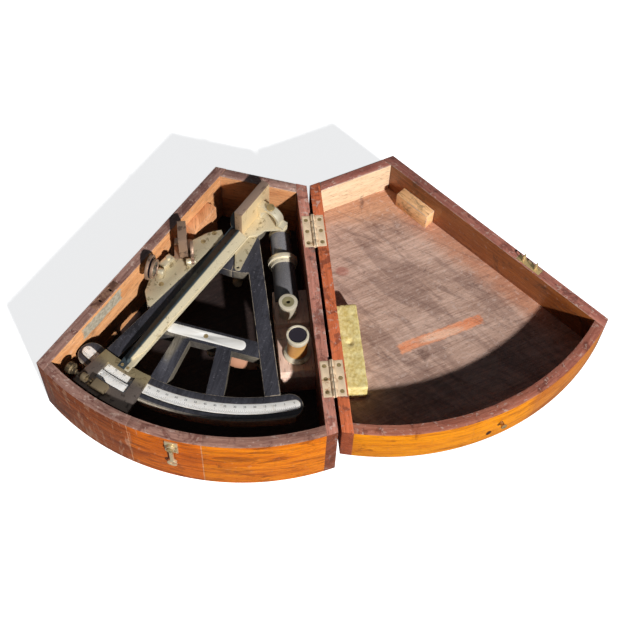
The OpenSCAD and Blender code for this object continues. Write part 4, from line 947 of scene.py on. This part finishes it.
def raised(top_mm: float) -> Matrix:
    """A shift up to a hundredth of a millimetre above a face's height."""
    return Matrix.Translation((0, 0, (top_mm + 0.01) * MM))


def evaluated(name: str, given: bpy.types.Object) -> bpy.types.Mesh:
    """The mesh that an object's modifiers or curves give, under a new name."""
    view = bpy.context.evaluated_depsgraph_get()
    mesh = bpy.data.meshes.new_from_object(given.evaluated_get(view))
    mesh.name = name
    return mesh


@dataclass(frozen=True)
class BarRow:
    """Equal bars round an axis, made by geometry nodes, in millimetres and degrees.

    Each bar is a box whose middle lies at the radius. Every middle_every-th and
    long_every-th bar is as long as the second and the third length.
    """

    count: int
    first: float
    step: float
    edge_r: float
    inward: float
    lengths: Sequence[float]
    width: float
    thick: float
    middle_every: int = 1
    long_every: int = 1

    def group(self) -> bpy.types.NodeTree:
        """The node group that draws the bars, made once."""
        made = bpy.data.node_groups.get("bar_row")
        if made is not None:
            return made
        tree = bpy.data.node_groups.new("bar_row", "GeometryNodeTree")
        tree.interface.new_socket("Geometry", in_out="OUTPUT", socket_type="NodeSocketGeometry")
        for keys, kind in ((("Count", "Middle Every", "Long Every"), "NodeSocketInt"),
                           (("First", "Step", "Edge Radius", "Inward", "Short", "Middle", "Long", "Width", "Thick"),
                            "NodeSocketFloat"), (("Material",), "NodeSocketMaterial")):
            for key in keys:
                tree.interface.new_socket(key, in_out="INPUT", socket_type=kind)
        s = Shade(tree)
        given, out = tree.nodes.new("NodeGroupInput").outputs, tree.nodes.new("NodeGroupOutput").inputs
        row = s.wired("GeometryNodeMeshLine", Count=given["Count"])
        index = s.add("GeometryNodeInputIndex").outputs[0]
        angle = s.plus(given["First"], s.times(index, given["Step"]))
        length = given["Short"]
        for every, longer in (("Middle Every", "Middle"), ("Long Every", "Long")):
            hit = s.math("LESS_THAN", s.math("MODULO", index, given[every]), 0.5)
            length = s.larger(length, s.times(hit, given[longer]))
        reach = s.minus(given["Edge Radius"], s.times(s.times(length, given["Inward"]), 0.5))
        at = s.wired("ShaderNodeCombineXYZ", X=s.times(s.math("SINE", angle), reach),
                     Y=s.times(s.math("COSINE", angle), s.times(reach, -1.0)))
        moved = s.wired("GeometryNodeSetPosition", Geometry=row["Mesh"], Position=at[0])
        turn = s.wired("FunctionNodeEulerToRotation", Euler=s.wired("ShaderNodeCombineXYZ", Z=angle)[0])
        size = s.wired("ShaderNodeCombineXYZ", X=given["Width"], Y=length, Z=given["Thick"])
        cube = s.add("GeometryNodeMeshCube").outputs["Mesh"]
        spread = s.wired("GeometryNodeInstanceOnPoints", Points=moved[0], Instance=cube, Rotation=turn[0],
                         Scale=size[0])
        real = s.wired("GeometryNodeRealizeInstances", Geometry=spread["Instances"])
        dressed = s.wired("GeometryNodeSetMaterial", Geometry=real["Geometry"], Material=given["Material"])
        s.feed(out["Geometry"], dressed["Geometry"])
        return tree

    def mesh(self, name: str, frame_of: Matrix, finish: Finish) -> bpy.types.Mesh:
        """Draws the bars in a frame whose Z is the axis and whose -Y is the first angle's zero.

        Args:
            name: the mesh's name.
            frame_of: the frame, in metres.
            finish: what the bars are dressed in.

        Returns:
            The mesh in the object's frame.
        """
        short, middle, long = self.lengths
        sizes = {"Edge Radius": self.edge_r, "Short": short, "Middle": middle, "Long": long, "Width": self.width,
                 "Thick": self.thick}
        values = {"Count": self.count, "Middle Every": self.middle_every, "Long Every": self.long_every,
                  "First": math.radians(self.first), "Step": math.radians(self.step), "Inward": self.inward,
                  "Material": finish.material(), **{key: size * MM for key, size in sizes.items()}}
        holder = show(name + "_holder", bpy.data.meshes.new(name + "_holder"))
        modifier = holder.modifiers.new("bars", "NODES")
        modifier.node_group = self.group()
        for item in modifier.node_group.interface.items_tree:
            if item.name in values:
                modifier[item.identifier] = values[item.name]
        mesh = evaluated(name, holder)
        mesh.transform(frame_of)
        bpy.data.objects.remove(holder)
        return mesh


def numerals(name: str, places: Sequence[tuple[str, float]], radius_mm: float, top_mm: float,
             size_mm: float, frame_of: Matrix) -> bpy.types.Mesh:
    """Plain numbers on an arc, with their feet outwards.

    Args:
        name: the mesh's name.
        places: each number's text and its angle in degrees.
        radius_mm: radius of their middles.
        top_mm: height of the face that they lie on.
        size_mm: their size.
        frame_of: frame of the arc.

    Returns:
        One mesh with all the numbers.
    """
    bm = bmesh.new()
    for words, angle in places:
        curve = bpy.data.curves.new("numeral", "FONT")
        curve.body = words
        curve.size = size_mm * MM
        curve.align_x = "CENTER"
        curve.align_y = "CENTER"
        curve.resolution_u = 3
        curve.extrude = 0.03 * MM
        holder = bpy.data.objects.new("numeral", curve)
        bpy.context.scene.collection.objects.link(holder)
        mesh = evaluated("numeral", holder)
        bpy.data.objects.remove(holder)
        lift = Matrix.Translation((0, -radius_mm * MM, (top_mm + 0.02) * MM))
        mesh.transform(frame_of @ Matrix.Rotation(math.radians(angle), 4, "Z") @ lift)
        bm.from_mesh(mesh)
        bpy.data.meshes.remove(mesh)
        bpy.data.curves.remove(curve)
    return meshed(name, bm)


@dataclass(frozen=True)
class CorkBlock:
    """A crumbling block of cork with rounded corners, inside a box in millimetres."""

    low: Sequence[float]
    high: Sequence[float]
    corner: float = 2.4
    crumble: float = 0.9
    lumps: Sequence[tuple[float, float]] = ((0.11, 0.5), (0.45, 0.35), (1.3, 0.15))
    cuts: int = 55
    notch: Sequence[float] = (90.4, -161.5, 60.0)
    notch_r: float = 3.2
    notch_deep: float = 2.6

    def settled(self, point: Vector) -> Vector:
        """Where a point of the plain box comes to lie, in millimetres."""
        low, high = Vector(self.low), Vector(self.high)
        core = Vector(min(max(p, a + self.corner), b - self.corner) for p, a, b in zip(point, low, high))
        out = point - core
        if out.length > 0:
            out.normalize()
        lumps = sum(noise.noise(point * scale) * share for scale, share in self.lumps)
        near = math.exp(-((point - Vector(self.notch)).length / self.notch_r) ** 2)
        moved = core + out * (self.corner - self.crumble * (0.5 + lumps) - near * self.notch_deep)
        moved.z = max(moved.z, low.z)
        return moved if point.z > low.z + 0.01 else Vector((moved.x, moved.y, low.z))

    def mesh(self, name: str) -> bpy.types.Mesh:
        """Makes the block's mesh."""
        bm = bmesh.new()
        bmesh.ops.create_cube(bm, size=1.0)
        size = Vector(b - a for a, b in zip(self.low, self.high))
        middle = Vector((a + b) / 2 for a, b in zip(self.low, self.high))
        bmesh.ops.subdivide_edges(bm, edges=bm.edges, cuts=self.cuts, use_grid_fill=True)
        for vert in bm.verts:
            plain = Vector(c * s for c, s in zip(vert.co, size)) + middle
            vert.co = self.settled(plain) * MM
        bmesh.ops.recalc_face_normals(bm, faces=bm.faces)
        mesh = meshed(name, bm)
        shade(mesh, 50.0)
        return mesh


def torn_sheet(name: str, frame_of: Matrix, box: Sequence[float], at: float, thick: float) -> bpy.types.Mesh:
    """A thin sheet with a torn outline, for paper remains.

    Args:
        name: the mesh's name.
        frame_of: frame whose X runs along the wall and Y away from it, in metres.
        box: low X, low Z, high X and high Z in millimetres.
        at: Y of the sheet's back in millimetres.
        thick: its thickness in millimetres.

    Returns:
        The mesh.
    """
    low_x, low_z, high_x, high_z = box
    across, up = high_x - low_x, high_z - low_z
    count = 150
    ring_points = []
    for i in range(count):
        t = 2 * math.pi * i / count
        c, s = math.cos(t), math.sin(t)
        square = max(abs(c), abs(s))
        wide = noise.noise(Vector((c * 2.1, s * 2.1, 7.0)))
        fine = noise.noise(Vector((c * 9, s * 9, 3.0)))
        reach = 0.5 * min(1.0, 0.92 + 0.2 * wide + 0.12 * fine) / square
        ring_points.append((low_x + across * (0.5 + c * reach), low_z + up * (0.5 + s * reach)))
    bm = bmesh.new()
    verts = [bm.verts.new(frame_of @ Vector((x * MM, at * MM, z * MM))) for x, z in ring_points]
    face = bm.faces.new(verts)
    made = bmesh.ops.extrude_face_region(bm, geom=[face])
    lift = frame_of.to_3x3() @ Vector((0, thick * MM, 0))
    bmesh.ops.translate(bm, vec=lift, verts=[v for v in made["geom"] if isinstance(v, bmesh.types.BMVert)])
    bmesh.ops.triangulate(bm, faces=[f for f in bm.faces if len(f.verts) > 4])
    bmesh.ops.recalc_face_normals(bm, faces=bm.faces)
    return meshed(name, bm)


@dataclass
class Hardware(SubAssembly):
    """Hinges, screws, lock and latch in aged brass."""

    # Painted shadow: a black line is painted across the hinges at the gap between the leaves.
    hinge: Metal = Metal("hinge_metal", 0.5, "FFE4C0", "CC9868", 0.32, 110.0, metal=0.2, zones=(
        Zone("1C1410", "0E0A08", slab((1, 0, 0), LAYOUT.hinge_x - LAYOUT.hinge_gap / 2,
                                      LAYOUT.hinge_x + LAYOUT.hinge_gap / 2, 0.2)),))
    screw: Metal = Metal("screw_metal", 0.42, "C0A878", "6E5838", 0.4, 110.0)
    lock: Metal = Metal("lock_metal", 0.5, "A67C64", "6A4638", 0.55, 110.0, metal=0.4)
    striker: Metal = Metal("striker_metal", 0.4, "E0C48C", "8C6C3C", 0.35, 110.0)
    latch: Metal = Metal("latch_metal", 0.38, "E4D0A8", "8C7448", 0.3, 110.0)

    def build_base(self) -> None:
        """Dresses the base's hinges, lock and latch."""
        self.eased(self.hinge, 0.25, "base_hinge_leaves")
        self.dress(self.hinge, "hinge_pins")
        self.eased(self.screw, 0.12, "base_screws")
        self.eased(self.lock, 0.3, "lock_case", "lock_bolt")
        self.eased(self.latch, 0.3, "latch_plate", "latch_hook")

    def build_lid(self) -> None:
        """Dresses the lid's hinges, its screws and the striker."""
        self.eased(self.hinge, 0.25, "lid_hinge_leaves")
        self.eased(self.screw, 0.12, "lid_screws")
        self.eased(self.striker, 0.25, "striker_plate")


@dataclass
class Frame(SubAssembly):
    """The ebony frame with its scale, plates, horizon mirror and shades."""

    def build(self) -> None:
        """Dresses the frame and everything fixed to it."""
        outside = Bound(Where.RINGED, limit=(self.layout.arc_out - 0.6) * MM, soft=0.4 * MM)
        lit = Zone("8E8470", "5A5246", (facing(0.51, -0.86, 0, 0.6, 0.3),), 0.7)
        # Painted light: the arc's outer face is painted pale, standing in for sunlight that the front wall's shadow
        # keeps off it.
        painted_sunlit_outer = Zone("DCD0BC", "9E9280", (outside,), 0.9)
        lip = Zone("A89E8E", "6E665C", (*ring(239.6, 242.2, 0.6), UP), 0.7)
        groove = Zone("141214", "0A0A0C", (*ring(234.0, 235.3), UP))
        ebony = Timber("ebony_wood", 0.42, "46454C", "1E1E24", (0, 0, -90 - self.layout.inst_turn),
                       dirt="101014", scuff="8E8A92", scuff_share=0.2, scuff_scale=260,
                       edge="B8A892", edge_share=0.75, zones=(lit, lip, painted_sunlit_outer, groove))
        self.eased(ebony, 0.5, "left_limb", "right_limb", "frame_braces", "frame_arc")
        bone = Bone("bone_scale_face", 0.45, "FAF7F2", "CBBB9C")
        self.eased(bone, 0.15, "arc_scale", "note_plate", angle=50)
        plate = Metal("plate_metal", 0.46, "D2C4A4", "847656", 0.4, 120.0, metal=0.45)
        bright = Metal("boss_metal", 0.38, "E2D6B8", "A08C62", 0.3, 120.0)
        dark = Metal("dark_metal", 0.46, "B0917A", "5E4A40", 0.4, 120.0)
        screw = Hardware().screw
        self.eased(screw, 0.1, "frame_screws")
        self.eased(plate, 0.2, "pivot_bush", "mount_plate")
        self.eased(bright, 0.3, "shade_posts", "back_posts")
        self.eased(dark, 0.2, "horizon_frame", "near_shade_frame", "far_shade_frame", "index_shade_frame")
        glass = Silvering("silvered_back", 0.12)
        self.dress(glass, "horizon_glass")
        shade_glass = Glass("shade_dark_glass", 0.1)
        self.dress(shade_glass, "near_shade_glass", "far_shade_glass", "index_shade_glass")
        grip = Timber("grip_wood", 0.35, "B87858", "744030", (0, 0, -self.layout.inst_turn), coat=0.4)
        self.eased(grip, 0.4, "handle_grip")
        self.add_divisions()

    def add_divisions(self) -> None:
        """Divides the scale to 20 minutes and numbers it from the right."""
        ink = Bone("scale_ink", 0.6, "2E2A28", "1C1A18")
        turned, start, face = self.layout.inst(), self.layout.scale_start, self.layout.scale_top
        row = BarRow(count=349, first=start, step=-1 / 6, edge_r=self.layout.scale_out - 0.3, inward=1.0,
                     lengths=(2.4, 3.6, 5.0), width=0.14, thick=0.06, middle_every=3, long_every=15)
        lines = row.mesh("scale_lines", turned @ raised(face), ink)
        place(show("scale_lines", lines), "instrument", "bone_scale", ink)
        places = [(str(value), start - value / 2) for value in range(0, 120, 5)]
        numbers = numerals("scale_numbers", places, self.layout.numeral_r, face, self.layout.numeral_size, turned)
        place(show("scale_numbers", numbers), "instrument", "bone_scale", ink)


@dataclass
class IndexArm(SubAssembly):
    """The index arm with its mirror, vernier, clamp and tangent screw."""

    def build(self) -> None:
        """Dresses the arm and what it carries."""
        across = self.layout.arm() @ Vector((-1, 0, 0))
        shaded = Zone("2E424E", "162430", (beyond(across, -1.6, 1.2), beyond((0, 0, 1), 61.2, 0.3)), 0.95)
        arm = Metal("arm_metal", 0.42, "DCCFB0", "928262", 0.3, 90.0, metal=0.3, gloss=0.15, zones=(shaded,))
        block = Zone("98866A", "544838", (beyond((0, 0, 1), 62.2, 0.3),))
        towards = self.layout.arm() @ Vector((0, 1, 0))
        # Painted highlight: the end plate's neck is painted golden, like the sunlit flank of the arm.
        painted_highlight_neck = Zone("B8A67C", "80704E", (beyond(towards, -227, 12, 8),), 0.8)
        end = Metal("end_plate_metal", 0.52, "7A6E66", "48403A", 0.4, 90.0, zones=(painted_highlight_neck, block))
        top = Zone("A88C7A", "7A6456", (UP,))
        # Painted light: the mirror frame's side that faces the front right is painted pale cream, as its sunlit
        # side.
        side = Zone("EAD2A6", "B89A6C", (facing(0.777, -0.629, 0, 0.8),))
        dark = Metal("mirror_frame_metal", 0.48, "B89A7C", "6A5240", 0.3, 110.0, metal=0.45, zones=(top, side))
        bright = Metal("bracket_metal", 0.4, "E4DAC0", "94865E", 0.3, 120.0, metal=0.5)
        worn = Metal("tangent_metal", 0.44, "9A8462", "30281F", 0.7, 120.0)
        bone = Bone("vernier_bone", 0.45, "FAF7F2", "CBBB9C")
        self.eased(arm, 0.25, "index_arm")
        self.eased(end, 0.3, "vernier_plate")
        self.eased(bone, 0.12, "vernier")
        self.eased(dark, 0.3, "index_mirror_frame")
        self.dress(Silvering("index_silvering", 0.12, "5A6272", "0A0C14"), "index_mirror_glass")
        self.eased(bright, 0.25, "mirror_bracket")
        self.eased(bright, 0.2, "arm_axle")
        self.eased(worn, 0.2, "tangent_screw", "clamp_screw")
        self.add_details(worn)
        self.eased(Hardware().screw, 0.1, "arm_screws")

    def add_details(self, knurled: Metal) -> None:
        """Divides the vernier and knurls the tangent screw's knob in the screw's finish."""
        ink = Bone("vernier_ink", 0.6, "2E2A28", "1C1A18")
        turned = self.layout.arm()
        row = BarRow(count=41, first=-4.0, step=0.2, edge_r=self.layout.scale_out + 0.5, inward=-1.0,
                     lengths=(2.2, 3.2, 4.4), width=0.14, thick=0.06, middle_every=4, long_every=20)
        lines = row.mesh("vernier_lines", turned @ raised(self.layout.vernier_top), ink)
        place(show("vernier_lines", lines), "index_arm", SLOTS["vernier"], ink)
        knob = Matrix.Translation((-self.layout.knob_x * MM, -self.layout.screw_y * MM, self.layout.screw_z * MM))
        axis = turned @ knob @ Matrix.Rotation(math.radians(90), 4, "Y")
        ribs = BarRow(count=44, first=0.0, step=360 / 44, edge_r=self.layout.knob_r, inward=1.0,
                      lengths=(0.5, 0.5, 0.5), width=0.45, thick=4.6)
        place(show("tangent_knurls", ribs.mesh("tangent_knurls", axis, knurled)), "tangent_screw",
              SLOTS["tangent_screw"], knurled)


@dataclass
class Telescopes(SubAssembly):
    """The telescope, the sight tube and the spare eyepiece."""

    def build(self) -> None:
        """Dresses the tubes and their rings."""
        rim = Zone("F0E2C2", "B8A074", (beyond((0, 1, 0), -13.2, 0.3),))
        black = Lacquer("tube_lacquer", 0.46, "605E60", "B4A688", 0.18)
        draw = Lacquer("draw_tube_lacquer", 0.42, "686669", "B4A688", 0.14, zones=(rim,))
        bore = Zone("A89C74", "6E6648", (within((31.5, -111, 66), (6.4, 6.4, 2), 0, 0.15, 0),))
        ring = Metal("ring_metal", 0.4, "F2E6CC", "B49C70", 0.22, 120.0, metal=0.45, zones=(bore,))
        golden = Zone("ECB064", "9C6A34", slab((0, 0, 1), 48.6, 71.6, 0.4))
        eye = Metal("eyepiece_metal", 0.44, "F6EAD0", "B49C70", 0.3, 90.0, metal=0.35, zones=(golden,))
        self.eased(black, 0.3, "telescope_tube")
        self.eased(draw, 0.3, "draw_tube")
        self.eased(ring, 0.25, "telescope_collar", "sight_tube")
        self.eased(eye, 0.25, "eyepiece")
        self.dress(Glass("lens_glass", 0.05, "DDE8E6", 1.0), "telescope_lens")
        self.dress(Glass("eyepiece_dark_glass", 0.06), "eyepiece_glass")


@dataclass
class Studio:
    """Pale floor, soft key from the front right, plain fill and the camera."""

    camera_at: Sequence[float] = (-0.039, -0.7689, 1.0955)
    forward: Sequence[float] = (0.08333, 0.52180, -0.84899)
    right: Sequence[float] = (0.99373, -0.10722, 0.03164)
    lens: float = 66.4
    key_azimuth: float = 22.0
    key_height: float = 30.5
    key_strength: float = 4.6
    key_angle: float = 2.6
    fill: float = 0.05
    fill_colour: Colour = (0.58, 0.76, 1.0)
    gloss: float = 0.28
    floor_radius: float = 6.0

    def build(self) -> None:
        """Makes the floor, the lamp, the world and the camera."""
        self.make_camera()
        sun = bpy.data.lights.new("key", "SUN")
        sun.energy = self.key_strength
        sun.angle = math.radians(self.key_angle)
        lamp = bpy.data.objects.new("key", sun)
        turn, rise = math.radians(self.key_azimuth), math.radians(self.key_height)
        towards = Vector((math.sin(turn) * math.cos(rise), -math.cos(turn) * math.cos(rise), math.sin(rise)))
        lamp.rotation_euler = towards.to_track_quat("Z", "Y").to_euler()
        bpy.context.scene.collection.objects.link(lamp)
        self.make_world()
        self.make_floor()
        bpy.context.scene.view_settings.view_transform = "Standard"

    def make_camera(self) -> None:
        """Places the camera where the photograph was taken from."""
        ahead = Vector(self.forward).normalized()
        side = (Vector(self.right) - ahead * Vector(self.right).dot(ahead)).normalized()
        above = side.cross(ahead)
        turn = Matrix((side, above, -ahead)).transposed().to_4x4()
        data = bpy.data.cameras.new("camera")
        data.lens = self.lens
        data.clip_start, data.clip_end = 0.05, 20
        camera = bpy.data.objects.new("camera", data)
        camera.matrix_world = Matrix.Translation(self.camera_at) @ turn
        bpy.context.scene.collection.objects.link(camera)
        bpy.context.scene.camera = camera

    def make_world(self) -> None:
        """Even fill, seen as white by the camera and in gloss."""
        world = bpy.data.worlds.new("studio")
        bpy.context.scene.world = world
        s = emptied(world)
        path = s.add("ShaderNodeLightPath").outputs
        seen = s.larger(path["Is Camera Ray"], path["Is Transmission Ray"])
        strength = s.blend(seen, s.blend(path["Is Glossy Ray"], self.fill, self.gloss), 1.0)
        colour = s.mix(s.larger(seen, path["Is Glossy Ray"]), self.fill_colour, (1.0, 1.0, 1.0))
        back = s.wired("ShaderNodeBackground", Strength=strength, Color=colour)
        s.wired("ShaderNodeOutputWorld", Surface=back["Background"])

    def make_floor(self) -> None:
        """A wide pale floor that keeps the object's shadow."""
        bm = bmesh.new()
        bmesh.ops.create_circle(bm, cap_ends=True, segments=64, radius=self.floor_radius)
        floor = show("floor", meshed("floor", bm))
        PaleFloor("pale_floor", 0.9).dress(floor)


def main() -> None:
    """Builds the studio and the sub-assemblies in order."""
    logging.basicConfig(level=logging.INFO, format="%(message)s")
    Studio().build()
    for assembly in (CaseBase(LAYOUT), CaseLid(LAYOUT), Frame(LAYOUT), IndexArm(LAYOUT), Telescopes(LAYOUT)):
        assembly.build()


if __name__ == "__main__":
    main()
